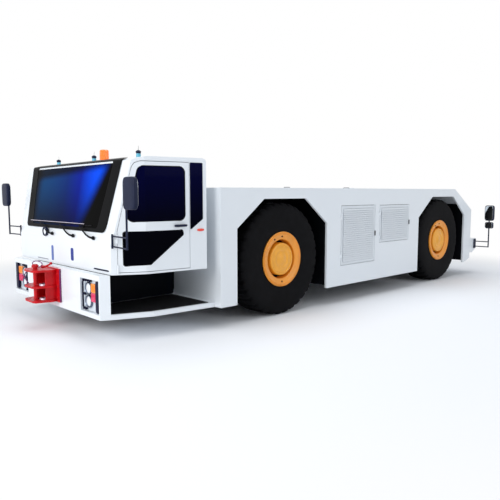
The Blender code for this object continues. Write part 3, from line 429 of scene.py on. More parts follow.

# %% [markdown]
# ## Rims
# The rim is turned: a wide orange ring with a lock ring and stepped edge, a deep groove, and a
# hub disc with shallow rings. A profile swept round the axle gives all of it. The groove's floor
# is a black sheet of painted shade, where the deep recess is dark, so it is its own piece.

# %% Rims
for (end, side_name), centre in wheel_centres.items():
    out = dict(SIDES)[side_name]
    body = f"wheel_{end}_{side_name}"
    ring = [(0.300, -0.215), (0.360, -0.215), (0.360, -0.197), (0.3177, -0.195), (0.3177, 0.195),
            (0.358, 0.196),
            (0.3615, 0.204), (0.360, 0.213), (0.352, 0.216), (0.347, 0.210), (0.342, 0.210), (0.338, 0.217),
            (0.329, 0.218), (0.325, 0.211), (0.320, 0.211), (0.312, 0.206), (0.285, 0.200), (0.266, 0.196),
            (0.258, 0.190), (0.255, 0.178), (0.255, 0.060), (0.285, 0.050), (0.295, -0.10), (0.300, -0.215)]
    disc = [(0.0, 0.212), (0.018, 0.212), (0.022, 0.208), (0.050, 0.206), (0.060, 0.200), (0.105, 0.197),
            (0.112, 0.203), (0.128, 0.205), (0.140, 0.200), (0.176, 0.198), (0.184, 0.206), (0.200, 0.206),
            (0.210, 0.198), (0.214, 0.186), (0.214, 0.060), (0.0, 0.060)]
    axis = (out, 0, 0)
    wheel = surface(f"rim_ring_{end}_{side_name}", [turned(ring, centre, axis, 96)], ORANGE, body)
    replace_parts(wheel, f"rim_{end}_{side_name}")
    surface(f"hub_disc_{end}_{side_name}", [turned(disc, centre, axis, 96)], AMBER_DISC, body)
    # A black ring at the groove's floor is painted shade in the deep recess between the rim and the hub disc.
    groove = [(0.2145, 0.060), (0.2545, 0.060), (0.2545, 0.075), (0.2145, 0.075)]
    surface(f"rim_groove_{end}_{side_name}", [turned(groove + groove[:1], centre, axis, 64)], GASKET, body)
    angles = np.radians([90, 118, 270])
    plugs = []
    for angle in angles:
        spot = centre + np.array((out * 0.204, 0.298 * np.cos(angle), 0.298 * np.sin(angle)))
        plugs.append(turned([(0.0, 0.004), (0.010, 0.004), (0.012, 0.0), (0.012, -0.010), (0.0, -0.010)],
                            spot, axis, 16))
    surface(f"rim_plugs_{end}_{side_name}", plugs, GASKET, body)

# %% [markdown]
# ## Louvred doors
# Each louvred door has a field of pressed slats. A slat's section is a short wedge that
# leans out at its lower edge; the same section is stepped up the door in one array sum.

# %% Louvre slats and latches
LEAF_LENGTH = {"main": 0.861, "aft": 0.865}


def slats(x, front, rear, low, high, count, side):
    """Wedge sections (top edge in, lower edge out) stepped up the field: one closed bar each."""
    pitch = (high - low) / count
    section = np.array([(-0.011, 0.92), (-0.001, 0.22), (-0.001, 0.10), (-0.006, 0.02), (-0.013, 0.30),
                        (-0.013, 0.85)])
    bars = []
    for step in range(count):
        z = low + (step + section[:, 1]) * pitch
        ends = [at(side * (x + section[:, 0]), station, z) for station in (front, rear)]
        middle = [np.repeat(e.mean(0)[None], len(section), 0) for e in ends]
        bars.append((np.stack([middle[0], ends[0], ends[1], middle[1]]), False, True))
    return bars


for side_name, side in SIDES:
    for door_name, count in (("main", 25), ("aft", 15)):
        node = f"louvre_door_{door_name}_{side_name}"
        low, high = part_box(node)
        rear = high.y - START_Y
        front = rear - LEAF_LENGTH[door_name]
        bottom, top = low.z, high.z
        border = 0.040
        field = slats(BODY_X, front + border + 0.001, rear - border - 0.001, bottom + border + 0.004,
                      top - border - 0.004, count, side)
        surface(f"slats_{door_name}_{side_name}", field, LOUVRE, node + "_leaf", smooth=20)
        latch_z = (bottom + top) / 2
        x = sorted((side * (BODY_X + 0.001), side * (BODY_X + 0.010)))
        latch = pill((x[0], START_Y + rear - 0.034, latch_z - 0.038),
                     (x[1], START_Y + rear - 0.012, latch_z + 0.038), 6)
        surface(f"latch_{door_name}_{side_name}", [latch], GASKET, node + "_leaf")

# %% [markdown]
# ## Outlines, panes and bars
# Windows and trim share three more shapes. A pane follows the cab's bent side: its points lie
# on a grid between the outline's lower and upper edge, and the cab's own rule gives how far
# out each one stands. A flat plate is a fan of rings, and a closed cord runs round an outline.

# %% Rounded outlines, bent panes, plates and loops
NOSE_HALF, BEND_HALF, REAR_HALF = 1.237, 1.411, 1.510       # the cab's half-widths
NOSE_S, BEND_S, REAR_S = 0.120, 0.448, 1.210                # and the stations where they stand


def skin(station):
    """Half-width of the cab's side: straight lines between its nose, its bend and its rear."""
    return np.interp(station, (NOSE_S, BEND_S, REAR_S), (NOSE_HALF, BEND_HALF, REAR_HALF))


def rounded_loop(corners, radius, steps=8):
    """Straight edges joined by arcs: each arc is the circle that touches both of its edges."""
    corners = np.asarray(corners, float)
    points = []
    for before, corner, after in zip(np.roll(corners, 1, 0), corners, np.roll(corners, -1, 0)):
        a = (before - corner) / np.linalg.norm(before - corner)
        b = (after - corner) / np.linalg.norm(after - corner)
        half = math.acos(float(np.clip(a @ b, -1, 1))) / 2
        reach = radius / math.tan(half)
        middle = corner + (a + b) / np.linalg.norm(a + b) * radius / math.sin(half)
        start, stop = corner + a * reach - middle, corner + b * reach - middle
        mix = np.linspace(0, 1, steps)[:, None]
        arc = start * (1 - mix) + stop * mix
        points.append(middle + arc / np.linalg.norm(arc, axis=1, keepdims=True) * radius)
    return np.concatenate(points)


def rectangle(low_u, high_u, low_v, high_v):
    """The four corners of an upright rectangle."""
    return [(low_u, low_v), (high_u, low_v), (high_u, high_v), (low_u, high_v)]


def bent_pane(loop, side, outer, inner, columns=40):
    """A sheet with a side-view outline, `outer` to `inner` metres under the cab's side skin."""
    first = int(np.argmin(loop[:, 0]))
    ring = np.roll(loop, -first, 0)
    last = int(np.argmax(ring[:, 0]))
    lower, upper = ring[:last + 1], np.vstack([ring[last:], ring[:1]])[::-1]
    station = np.linspace(ring[0, 0] + 0.0005, ring[last, 0] - 0.0005, columns)
    if station[0] < BEND_S < station[-1]:
        station = np.unique(np.append(station, BEND_S))
    low, high = np.interp(station, *lower.T), np.interp(station, *upper.T)
    share = np.linspace(0, 1, 6)
    z = low[:, None] * (1 - share) + high[:, None] * share
    x = skin(station)[:, None]
    front = at(side * (x - outer), station[:, None], z)
    back = at(side * (x - inner), station[:, None], z)[:, ::-1]
    return capped(np.concatenate([front, back], 1))


def closed_cord(path, radius, sides=8):
    """A round section carried round a closed path; its first ring follows its last."""
    path = np.asarray(path, float)
    path = path[np.linalg.norm(path - np.roll(path, 1, 0), axis=1) > 1e-5]
    way = np.roll(path, -1, 0) - np.roll(path, 1, 0)
    return path[:, None] + circles(way, (0.31, 0.87, 0.38), sides) * radius, True, True


def plate(loop, place, thick, edge=0.002):
    """A flat plate: rings shrunk towards the middle at both faces give it a soft edge."""
    loop = np.asarray(loop, float)
    middle = loop.mean(0)
    span = np.linalg.norm(loop - middle, axis=1, keepdims=True)
    inset = middle + (loop - middle) * (1 - edge / span)
    rings = [(np.repeat(middle[None], len(loop), 0), 0), (inset, 0), (loop, edge), (loop, thick - edge),
             (inset, thick), (np.repeat(middle[None], len(loop), 0), thick)]
    return np.stack([place(ring[:, 0], ring[:, 1], depth) for ring, depth in rings]), False, True


def oval(centre, half_u, half_v, count=48, power=2.0):
    """A closed superellipse: cosine and sine raised to 2/power give a circle or a rounder box."""
    turn = np.linspace(0, 2 * np.pi, count, endpoint=False)
    c, s = np.cos(turn), np.sin(turn)
    return np.stack([centre[0] + half_u * np.sign(c) * np.abs(c) ** (2 / power),
                     centre[1] + half_v * np.sign(s) * np.abs(s) ** (2 / power)], 1)


print("half-width of the cab at its bend", float(skin(BEND_S)))

# %% [markdown]
# ## Side windows
# Each door window is a dark pane set just inside the skin, in a black rubber moulding. The
# pane replaces the plain one behind the door. The quarter window is bonded over its post.

# %% Side windows with their mouldings
SCREEN_RAKE = 0.22                          # how far the glass leans back for each metre up
SCREEN_FOOT_Z = 1.187


def pillar_edge(z, behind):
    """Station of a point that lies `behind` the windscreen's slanted plane."""
    return 0.155 + SCREEN_RAKE * (z - SCREEN_FOOT_Z) + behind


UPPER = rounded_loop([(pillar_edge(1.298, 0.075), 1.298), (0.935, 1.298), (0.935, 1.897),
                      (pillar_edge(1.897, 0.075), 1.897)], 0.07)
LOWER = rounded_loop([(0.232, 0.828), (0.500, 0.832), (0.912, 1.145), (0.900, 1.200), (0.232, 1.200)], 0.025)
QUARTER = rounded_loop([(0.995, 1.190), (1.161, 1.311), (1.161, 1.942), (0.995, 1.942)], 0.006, 3)


def shrunk(loop, amount):
    """An outline drawn in towards its middle by about `amount`."""
    middle = loop.mean(0)
    span = np.linalg.norm(loop - middle, axis=1, keepdims=True)
    return middle + (loop - middle) * (1 - amount / span)


def on_skin(loop, side, under):
    """The outline's points on the cab's side, `under` metres below its skin."""
    return at(side * (skin(loop[:, 0]) - under), loop[:, 0], loop[:, 1])


for side_name, side in SIDES:
    body = f"cab_door_{side_name}"
    panes = [bent_pane(shrunk(loop, 0.004), side, 0.006, 0.011) for loop in (UPPER, LOWER)]
    glass = surface(f"door_panes_{side_name}", panes, SIDE_GLASS, body, smooth=30)
    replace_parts(glass, f"door_glass_{side_name}")
    seals = [closed_cord(on_skin(shrunk(loop, 0.003), side, 0.003), 0.006) for loop in (UPPER, LOWER)]
    surface(f"door_seals_{side_name}", seals, GASKET, body)
    quarter = surface(f"quarter_pane_{side_name}", [bent_pane(QUARTER, side, -0.003, 0.003, 14)], SIDE_GLASS,
                      "chassis", smooth=30)
    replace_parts(quarter, f"quarter_window_{side_name}")
    handle = pill(at(side * (skin(0.787) + (0.004 if side > 0 else 0.024)), 0.787, 1.231),
                  at(side * (skin(0.949) + (0.022 if side > 0 else 0.002)), 0.949, 1.258), 5)
    surface(f"door_handle_{side_name}", [handle], NAVY, body)
    marker_x = side * (skin(1.128) + 0.004)
    marker = pill(at(marker_x - 0.010, 1.077, 1.172), at(marker_x + 0.010, 1.178, 1.202), 2.4)
    surface(f"side_marker_{side_name}", [marker], MARKER, "chassis")

# %% [markdown]
# ## Windscreen surround and wipers
# A black band is printed round the glass, and it carries on over the roof's leading edge as a
# visor. It is one sheet swept up the screen and back over that edge, and its inner edge is
# wider at the sides than at the top. Three wipers lie in a row along the foot.

# %% Windscreen band
BAND_PATH = np.array([(0.1435, 1.178), (0.1461, 1.190), (0.3095, 1.932), (0.3170, 1.960), (0.3320, 1.976),
                      (0.3700, 1.985), (0.4200, 1.997)])     # stations and heights of the band's middle line


def band_point(across, height_share):
    """A point just proud of the screen's outer face or, further up, of the roof's edge."""
    lengths = run_length(BAND_PATH)
    place = height_share * lengths[-1]
    return at(across, np.interp(place, lengths, BAND_PATH[:, 0]), np.interp(place, lengths, BAND_PATH[:, 1]))


def band_loop(margin_side, margin_low, margin_high, radius, count=320):
    """A rounded outline, (across, share of the height), read at even steps of its length."""
    corners = [(-1.070 + margin_side, margin_low), (1.070 - margin_side, margin_low),
               (1.195 - margin_side, 1 - margin_high), (-1.195 + margin_side, 1 - margin_high)]
    loop = rounded_loop(corners, radius, 14)
    loop = np.vstack([loop, loop[:1]])
    length = run_length(loop)
    place = np.linspace(0, length[-1], count, endpoint=False)
    return np.stack([np.interp(place, length, loop[:, i]) for i in (0, 1)], 1)


outer_loop, inner_loop = band_loop(0, 0.0, 0.0, 0.075), band_loop(0.185, 0.045, 0.120, 0.045)
steps = np.linspace(0, 1, 14)[:, None, None]
between = outer_loop * (1 - steps) + inner_loop * steps
printed = band_point(between[..., 0], np.clip(between[..., 1], 0, 1))
behind = printed[::-1] + np.array((0, 0.0014, -0.0004))
surface("windscreen_band", [(np.concatenate([printed, behind]), True, True)], BAND_BLACK, "chassis",
        smooth=30)

# %% Wipers
def wiper(name, pivot_x, tip_x, blade_low, blade_high):
    """A pivot cap, a cranked arm that rises to the blade, and a thin blade along the glass."""
    pivot = at(pivot_x, 0.1195, 1.115)
    cap = turned([(0.0, 0.020), (0.016, 0.019), (0.021, 0.014), (0.023, 0.0), (0.0, 0.0)], pivot, (0, -1, 0),
                 20)
    blade_middle = (blade_low + blade_high) / 2
    reach = np.array([(pivot_x, 0.105, 1.115), (pivot_x - 0.07, 0.103, 1.122), (pivot_x - 0.15, 0.104, 1.145),
                      (pivot_x - 0.24, 0.112, 1.185), (pivot_x - 0.34, 0.124, 1.222),
                      (blade_middle, 0.132, 1.243)])
    rise = np.linspace(0, 1, 24)
    keys = np.linspace(0, 1, len(reach))
    arm = at(*(np.interp(rise, keys, reach[:, i]) for i in range(3)))
    across = np.linspace(blade_low, blade_high, 24)
    height = 1.247 - 0.012 * (across - blade_middle)
    blade = at(across, 0.146 + SCREEN_RAKE * (height - SCREEN_FOOT_Z), height)
    surface(name, [cap, tube(arm, np.linspace(0.012, 0.006, 24), 10), tube(blade, 0.0055, 8)], GASKET,
            "chassis")


wiper("wiper_right", -0.198, -0.55, -0.90, -0.30)
wiper("wiper_middle", 0.375, 0.02, -0.26, 0.24)
wiper("wiper_left", 0.866, 0.50, 0.28, 0.76)
# A pale line along the foot of the blades is a painted glint.
glint = at(np.linspace(-0.90, 0.62, 40), 0.1355, 1.262)
surface("wiper_painted_glint", [tube(glint, 0.0035, 8)], PAINTED_GLINT, "chassis")
round_centre = at(-0.392, 0.113, 1.132)
surface("round_lamp_rim", [turned([(0.055, -0.018), (0.060, 0.012), (0.056, 0.018), (0.046, 0.016),
                                   (0.044, 0.006),
                                   (0.0, 0.006), (0.0, -0.018)], round_centre, (0, -1,
                                                                                0), 40)], NAVY, "chassis")
surface("round_lamp_glass", [turned([(0.0, 0.016), (0.020, 0.015), (0.036, 0.012), (0.0435, 0.007),
                                     (0.0, 0.007)],
                                    round_centre, (0, -1, 0), 40)], LAMP_GLASS, "chassis")

# %% [markdown]
# ## Front lamps
# Each cluster sits in a pocket in the bumper: two round white lamps one above the other, an
# orange and a red lens beside them, a thick guard bar on the outer edge and a thin one on the
# inner edge, held by small studs.

# %% Lamp clusters
def facing(centre_x, centre_z, station):
    """Places (across, up) on an upright face at a station, with depth counted backwards."""
    return lambda u, v, depth: at(centre_x + u, station + depth, centre_z + v)


for side_name, side in SIDES:
    back = surface(f"lamp_case_{side_name}",
                   [plate(rounded_loop(rectangle(-0.204, 0.204, -0.179, 0.179), 0.012),
                          facing(side * 0.957, 0.4935, 0.040), 0.009)], CASE_WHITE, "chassis")
    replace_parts(back, f"headlamp_{side_name}")
    bezels, domes = [], []
    for z in (0.4225, 0.5675):
        centre = at(side * 0.896, 0.040, z)
        bezels.append(turned([(0.071, 0.0), (0.071, 0.022), (0.066, 0.028), (0.060, 0.024), (0.058, 0.004),
                              (0.0, 0.002),
                              (0.0, 0.0)], centre, (0, -1, 0), 48))
        domes.append(turned([(0.0, 0.027), (0.022, 0.0265), (0.040, 0.024), (0.052, 0.020), (0.0575, 0.014),
                             (0.0575, 0.005), (0.0, 0.005)], centre, (0, -1, 0), 48))
    surface(f"lamp_bezels_{side_name}", bezels, CHROME, "chassis")
    surface(f"lamp_domes_{side_name}", domes, LAMP_GLASS, "chassis")
    ribs = np.linspace(-0.060, 0.060, 80)
    for lens, paint, low, high in (("orange", ORANGE_LENS, 0.532, 0.632), ("red", PINK_LENS, 0.430, 0.527)):
        corners = rounded_loop(rectangle(-0.060, 0.060, low, high), 0.010, 6)
        shape = plate(corners, facing(side * 1.030, 0.0, 0.012), 0.028, 0.004)
        fine = [tube(at(side * 1.030 + np.full(12, u), 0.0125, np.linspace(low + 0.010, high - 0.010, 12)),
                     0.0035, 8)
                for u in np.linspace(-0.048, 0.048, 9)]
        surface(f"{lens}_lens_{side_name}", [shape] + fine, paint, "chassis")
    guard = pill(at(side * 1.122 - 0.036, 0.0005, 0.320), at(side * 1.122 + 0.036, 0.030, 0.669), 7)
    inner = tube(at(side * 0.795, np.interp(np.linspace(0, 1, 24), (0, 0.06, 0.94, 1),
                                            (0.03, 0.008, 0.008, 0.03)),
                    np.linspace(0.335, 0.655, 24)), 0.010, 10)
    surface(f"lamp_guards_{side_name}", [guard, inner], GUARD_NAVY, "chassis")
    places = [(0.795, 0.655), (0.845, 0.655), (0.895, 0.655), (0.945, 0.655), (0.795, 0.500), (0.830, 0.500),
              (0.795, 0.335), (0.838, 0.335)]
    studs = [turned([(0.0, 0.020), (0.008, 0.019), (0.013, 0.014), (0.013, -0.010), (0.0, -0.010)],
                    at(side * x, 0.025, z), (0, -1, 0), 16) for x, z in places]
    surface(f"lamp_studs_{side_name}", studs, GUARD_NAVY, "chassis")

# %% [markdown]
# ## Nose details
# The nose carries two upright blue bars, one dark and one pale, and two short dark strips that are
# painted shadow where the bumper's top meets the fascia. They are rounded plates whose faces stand 2.5 mm
# proud.

# %% Nose bars and painted shadow lines
def nose_plate(name, centre_x, centre_z, half_x, half_z, paint, station):
    """A small rounded plate on the nose, 2.4 mm thick."""
    loop = oval((0, 0), half_x, half_z, 40, 6)
    surface(name, [plate(loop, facing(centre_x, centre_z, station - 0.0025), 0.0024, 0.001)], paint,
            "chassis")


nose_plate("nose_bar_right", -0.215, 0.870, 0.030, 0.095, BAR_PALE, 0.120)
nose_plate("nose_bar_left", 0.330, 0.892, 0.036, 0.075, BAR_BLUE, 0.120)
# Two thin dark strips are painted shadow along the joint of the bumper's top and the fascia.
nose_plate("nose_shadow_line_left", 1.020, 0.776, 0.165, 0.009, GUARD_NAVY, 0.120)
nose_plate("nose_shadow_line_right", -0.515, 0.776, 0.170, 0.006, SHADOW_LINE_GREY, 0.120)

# %% [markdown]
# ## Front hitch
# The hitch is three red jaw plates with a drop pin. The pin has a collar and a looped handle,
# a lever stands behind it, and a slack safety loop hangs from the top jaw to the middle one.

# %% Hitch handle, lever, loop and painted glints in the jaws
pin_low, pin_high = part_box("front_hitch_pin")
pin_station = (pin_low.y + pin_high.y) / 2 - START_Y
collar = turned([(0.0, 0.030), (0.030, 0.029), (0.040, 0.022), (0.042, 0.0), (0.029, 0.0), (0.029, -0.002)],
                at(0, pin_station, pin_high.z - 0.035), (0, 0, 1), 32)
surface("pin_collar", [collar], RED, "chassis")
turn = np.linspace(0, 2 * np.pi, 48, endpoint=False)
ring = at(0.020 + 0.076 * np.cos(turn), pin_station + 0.020 + 0.028 * np.cos(turn),
          pin_high.z + 0.002 + 0.036 * np.sin(turn))
surface("pin_handle", [closed_cord(ring, 0.0055)], PURPLE_CORD, "chassis")
share = np.linspace(0, 1, 24)
lever = at(0.045 + 0.140 * share, -0.135 + 0.050 * share, 0.735 + 0.052 * share ** 1.6)
knob = at(0.187, -0.084, 0.789)
surface("hitch_lever", [tube(lever, np.linspace(0.014, 0.009, 24), 12),
                        pill(knob - 0.017, knob + 0.017, 2.2, 14, 18)], RED, "chassis")
loop_x = -0.175 - 0.050 * np.sin(np.pi * share)
loop = at(loop_x, -0.215 - 0.030 * np.sin(np.pi * share), 0.690 - 0.165 * share)
surface("safety_loop", [tube(loop, 0.0060, 8)], PURPLE_CORD, "chassis")
# Two pale rings behind the pin are painted glints inside the jaws.
jaw_glints = [turned([(0.029, 0.0), (0.058, 0.0), (0.056, 0.010), (0.050, 0.014), (0.029, 0.014)],
                 at(0.060, pin_station + 0.075, z), (0, 0, 1), 40) for z in (0.3530, 0.5230)]
surface("jaw_painted_glints", jaw_glints, PAINTED_GLINT, "chassis")
half = 0.262
base_edge = [tube(at(half, -0.012, np.linspace(0.322, 0.718, 12)), 0.0075, 8),
             tube(at(-half, -0.012, np.linspace(0.322, 0.718, 12)), 0.0075, 8)]
surface("hitch_plate_edges", base_edge, PURPLE_CORD, "chassis")
bolts = []
for x in (-0.225, 0.225):
    for z in (0.380, 0.520, 0.660):
        bolts.append(turned([(0.0, 0.012), (0.012, 0.012), (0.015, 0.008), (0.017, 0.0), (0.0, 0.0)],
                            at(x, -0.0255, z), (0, -1, 0), 6))
surface("hitch_bolts", bolts, RED, "chassis")

# %% [markdown]
# ## Steps
# A black sheet stands in the space under each door as painted shade, and its tread has a ribbed
# rubber mat that stops short of the outer edge, which stays white.

# %% Step mats and the painted shade under the doors
for side_name, side in SIDES:
    edge_x = lambda s: np.interp(s, (0.106, 0.541, 1.365), (1.238, 1.400, 1.467)) - 0.028
    stations = np.linspace(0.112, 1.290, 160)
    wave = 0.0024 * (np.sin(stations * 2 * np.pi / 0.030) > 0)
    stretch = np.linspace(0.002, 1, 8)
    tread_x = 0.684 + (edge_x(stations)[:, None] - 0.684) * stretch
    top = at(side * tread_x, stations[:, None], 0.3165 + wave[:, None])
    under = at(side * tread_x, stations[:, None], 0.3124)[:, ::-1]
    mat = capped(np.concatenate([top, under], 1))
    surface(f"step_mat_{side_name}", [mat], MAT, "chassis", smooth=25)
    # A black sheet inside the step's recess is painted shade under the cab.
    recess_shade = pill(at(side * 0.686 - 0.0045, 0.108, 0.320), at(side * 0.686 + 0.0045, 1.330, 0.728), 30, 12, 24)
    surface(f"step_liner_{side_name}", [recess_shade], RECESS_SHADE_BLACK, "chassis")

# %% [markdown]
# ## Mirrors
# A mirror is a rounded housing on a bent tube, with the silvered glass set in the face that
# looks back at the driver. Superellipse blocks give housings with soft corners.

# %% Front and rear mirrors
for side_name, side in SIDES:
    def place(x, station, z):
        return at(side * x, station, z)

    span_x = sorted((side * 1.572, side * 1.788))
    housing = pill(at(span_x[0], 0.070, 1.438), at(span_x[1], 0.128, 1.764), 6, 30, 44)
    rod = tube(place(np.full(20, 1.600), 0.099, np.linspace(1.034, 1.470, 20)), 0.011, 12)
    share = np.linspace(0, 1, 16)
    arms = [tube(place(1.262 + (1.600 - 1.262) * share, 0.134 - 0.035 * share, z), 0.0085, 10)
            for z in (1.045, 1.155)]
    foot_x = sorted((side * 1.2490, side * 1.2630))
    foot = pill(at(foot_x[0], 0.119, 1.022), at(foot_x[1], 0.139, 1.178), 8, 12, 20)
    mirror = surface(f"front_mirror_{side_name}", [housing, rod, foot] + arms, NAVY, "chassis")
    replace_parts(mirror, f"mirror_front_{side_name}")
    glass = plate(oval((0, 0), 0.094, 0.148, 48, 6), lambda u, v,
                  d: at(side * 1.680 + u, 0.1285 + d, 1.601 + v), 0.003)
    surface(f"front_mirror_glass_{side_name}", [glass], MIRROR, "chassis")
    rail = closed_cord(at(side * 1.680 + oval((0, 0), 0.104, 0.158, 48, 6)[:, 0], 0.070 + 0.030,
                          1.601 + oval((0, 0), 0.104, 0.158, 48, 6)[:, 1]), 0.0035)
    surface(f"front_mirror_rail_{side_name}", [rail], STEEL, "chassis")

    span_x = sorted((side * 1.758, side * 1.932))
    head = pill(at(span_x[0], 8.075, 1.053), at(span_x[1], 8.138, 1.352), 6, 30, 40)
    low_x = sorted((side * 1.768, side * 1.922))
    low_head = pill(at(low_x[0], 8.079, 0.903), at(low_x[1], 8.134, 1.027), 5, 24, 36)
    mast = tube(place(np.full(20, 1.845), 8.100, np.linspace(0.535, 1.30, 20)), 0.0115, 12)
    stays = [tube(place(1.585 + (1.850 - 1.585) * share, 8.100, z), 0.0095, 10) for z in (0.54, 0.64)]
    rear_x = sorted((side * 1.5785, side * 1.5965))
    rear_foot = pill(at(rear_x[0], 8.052, 0.503), at(rear_x[1], 8.128, 0.687), 8, 12, 20)
    rear = surface(f"rear_mirror_{side_name}", [head, low_head, mast, rear_foot] + stays, NAVY, "chassis")
    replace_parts(rear, f"mirror_rear_{side_name}")
    faces = [plate(oval((0, 0), 0.074, 0.134, 40, 6), lambda u, v,
                   d: at(side * 1.845 + u, 8.0735 - d, 1.2025 + v), 0.003),
             plate(oval((0, 0), 0.064, 0.050, 40, 6), lambda u, v,
                   d: at(side * 1.845 + u, 8.0775 - d, 0.965 + v), 0.003)]
    surface(f"rear_mirror_glass_{side_name}", faces, MIRROR, "chassis")

# %% [markdown]
# ## Roof lights
# The three short posts are clearance lights with a dark cap and a thin whip, and the beacon
# is a ribbed amber dome on a black foot. All are turned from profiles.

# %% Posts and beacon
posts, caps, whips = [], [], []
for x in (-1.03, 0.0, 1.03):
    root = at(x, 0.62, ROOF_Z)
    posts.append(turned([(0.0262, -0.002), (0.0300, 0.006), (0.0268, 0.012), (0.0262, 0.054), (0.0, 0.054)],
                        root,
                        (0, 0, 1), 32))
    caps.append(turned([(0.0, 0.094), (0.014, 0.092), (0.024, 0.086), (0.031, 0.078), (0.031, 0.070),
                        (0.0265, 0.062),
                        (0.0262, 0.055), (0.0, 0.055)], root, (0, 0, 1), 32))
    whips.append(tube(root + np.linspace(0, 1, 12)[:,
                                                   None] * np.array((0.004, 0, 0.050)) + np.array((0, 0,
                                                                                                   0.092)),
                      np.linspace(0.0035, 0.0015, 12), 6))
surface("roof_posts", posts, BLUE_POST, "chassis")
surface("roof_post_caps", caps, NAVY, "chassis")
surface("roof_post_whips", whips, STEEL, "chassis")
beacon_low, beacon_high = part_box("beacon")
beacon_root = np.array(((beacon_low.x + beacon_high.x) / 2, (beacon_low.y + beacon_high.y) / 2, beacon_low.z))
grooves = np.linspace(0, 1, 60)
wall = np.stack([0.0575 - 0.002 * grooves + 0.0016 * np.sin(grooves * 2 * np.pi * 11),
                 0.020 + 0.112 * grooves], 1)
dome = np.vstack([[(0.0, 0.020)], wall, [(0.050, 0.142), (0.038, 0.147), (0.020, 0.149), (0.0, 0.1495)]])
light = surface("beacon_dome", [turned(dome[::-1], beacon_root, (0, 0, 1), 56)], AMBER, "chassis")
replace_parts(light, "beacon")
surface("beacon_foot", [turned([(0.0, 0.0195), (0.060, 0.0195), (0.0615, 0.016), (0.0615, 0.0005),
                                (0.0, 0.0005)],
                               beacon_root, (0, 0, 1), 56)], GASKET, "chassis")

# %% [markdown]
# ## Inside the cab
# Two sprung seats stand on the floor, and a steering wheel on its column. A cushion is a
# superellipse block whose top is crowned by a product of cosines, whose sides pull in between
# the corners, and whose face has a narrow dip along each seam.

# %% Seats
def cushion(low, high, channels, crown=0.018, pull=0.012):
    """A rounded block; its wide face swells by a product of cosines, less a narrow dip per seam."""
    grid, _, _ = pill(low, high, 5.5, 56, 72)
    middle, half = (np.asarray(low) + high) / 2, (np.asarray(high) - low) / 2
    unit = (grid - middle) / half
    swell = np.cos(unit[..., 0] * 1.35) * np.cos(unit[..., 1] * 1.35)
    seams = sum(np.exp(-((unit[..., 0] - place) / 0.045) ** 2) for place in channels)
    face = np.clip(unit[..., 2], 0, 1) ** 2
    grid[..., 2] += face * (crown * swell - 0.010 * seams)
    grid[..., 0] -= pull * unit[..., 0] * np.cos(unit[..., 1] * 1.5) * (1 - face)
    return grid, False, True


def standing(sheet, middle, lean):
    """A cushion laid flat, turned up about the side-to-side axis to stand as a backrest."""
    grid, close_rows, close_columns = sheet
    angle = math.radians(lean)
    y, z = grid[..., 1] - middle[1], grid[..., 2] - middle[2]
    turned_up = grid.copy()
    turned_up[..., 1] = middle[1] - z * math.cos(angle) + y * math.sin(angle)
    turned_up[..., 2] = middle[2] + y * math.cos(angle) + z * math.sin(angle)
    return turned_up, close_rows, close_columns


for seat_name, centre_x in (("driver_seat", SEAT_X), ("passenger_seat", -SEAT_X)):
    base = cushion(at(centre_x - 0.235, 0.635, 1.060), at(centre_x + 0.235, 1.045, 1.162), (-0.5, 0.5))
    flat = cushion(at(centre_x - 0.225, 0.800, 1.340), at(centre_x + 0.225, 1.240, 1.425), (-0.48, 0.48),
                   pull=0.010)
    back = standing(flat, at(0, 1.020, 1.3825), 10)
    pads = surface(f"{seat_name}_pads", [base, back], SEAT, "chassis", smooth=60)
    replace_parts(pads, seat_name)
    bellows = np.linspace(0, 1, 60)
    profile = np.stack([0.165 + 0.010 * np.sin(bellows * 2 * np.pi * 7), 0.030 + 0.215 * bellows], 1)
    profile = np.vstack([[(0.0, 0.245)], profile[::-1], [(0.0, 0.030)]])
    stand = turned(profile, at(centre_x, 0.855, CAB_FLOOR), (0, 0, 1), 40)
    plinth = pill(at(centre_x - 0.19, 0.690, CAB_FLOOR), at(centre_x + 0.19, 1.020, 0.812), 8, 14, 28)
    surface(f"{seat_name}_stand", [stand, plinth], VINYL, "chassis")

# %% Steering wheel and instruments
hub = at(SEAT_X, 0.540, 1.300)
root = at(SEAT_X, 0.500, 1.130)
way = (hub - root) / np.linalg.norm(hub - root)
across = np.array((1.0, 0, 0))
forward = np.cross(way, across)
turn = np.linspace(0, 2 * np.pi, 72, endpoint=False)
rim = hub + 0.182 * (np.cos(turn)[:, None] * across + np.sin(turn)[:, None] * forward)
spokes = []
for angle in np.radians([90, 210, 330]):
    end = hub + 0.180 * (np.cos(angle) * across + np.sin(angle) * forward)
    spokes.append(tube(hub + np.linspace(0, 1, 12)[:, None] * (end - hub), np.linspace(0.014, 0.009, 12), 10))
boss = turned([(0.0, 0.020), (0.030, 0.018), (0.044, 0.010), (0.048, -0.004), (0.040, -0.012), (0.0, -0.012)],
              hub, way, 40)
column = [tube(np.linspace(root, hub, 14), 0.021, 16),
          tube(at(SEAT_X, 0.500, np.linspace(0.780, 1.140, 14)), 0.029, 16)]
wheel = surface("steering_wheel_rim", [closed_cord(rim, 0.0145, 14), boss] + spokes + column, GASKET,
                "chassis")
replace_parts(wheel, "steering_wheel")
dials = []
for x in (0.54, SEAT_X, 0.80):
    dials.append(turned([(0.046, -0.008), (0.046, 0.008), (0.041, 0.010), (0.038, 0.004), (0.0, 0.004),
                         (0.0, -0.008)],
                        at(x, 0.4440, 1.088), (0, 0.93, 0.36), 40))
surface("instrument_rings", dials, STEEL, "chassis")

# %% [markdown]
# ## Tail and deck fittings
# The rear bumper carries a lamp cluster on each side: a red lens, an orange one and a white
# one in a black frame. The engine hatch has four bow handles.

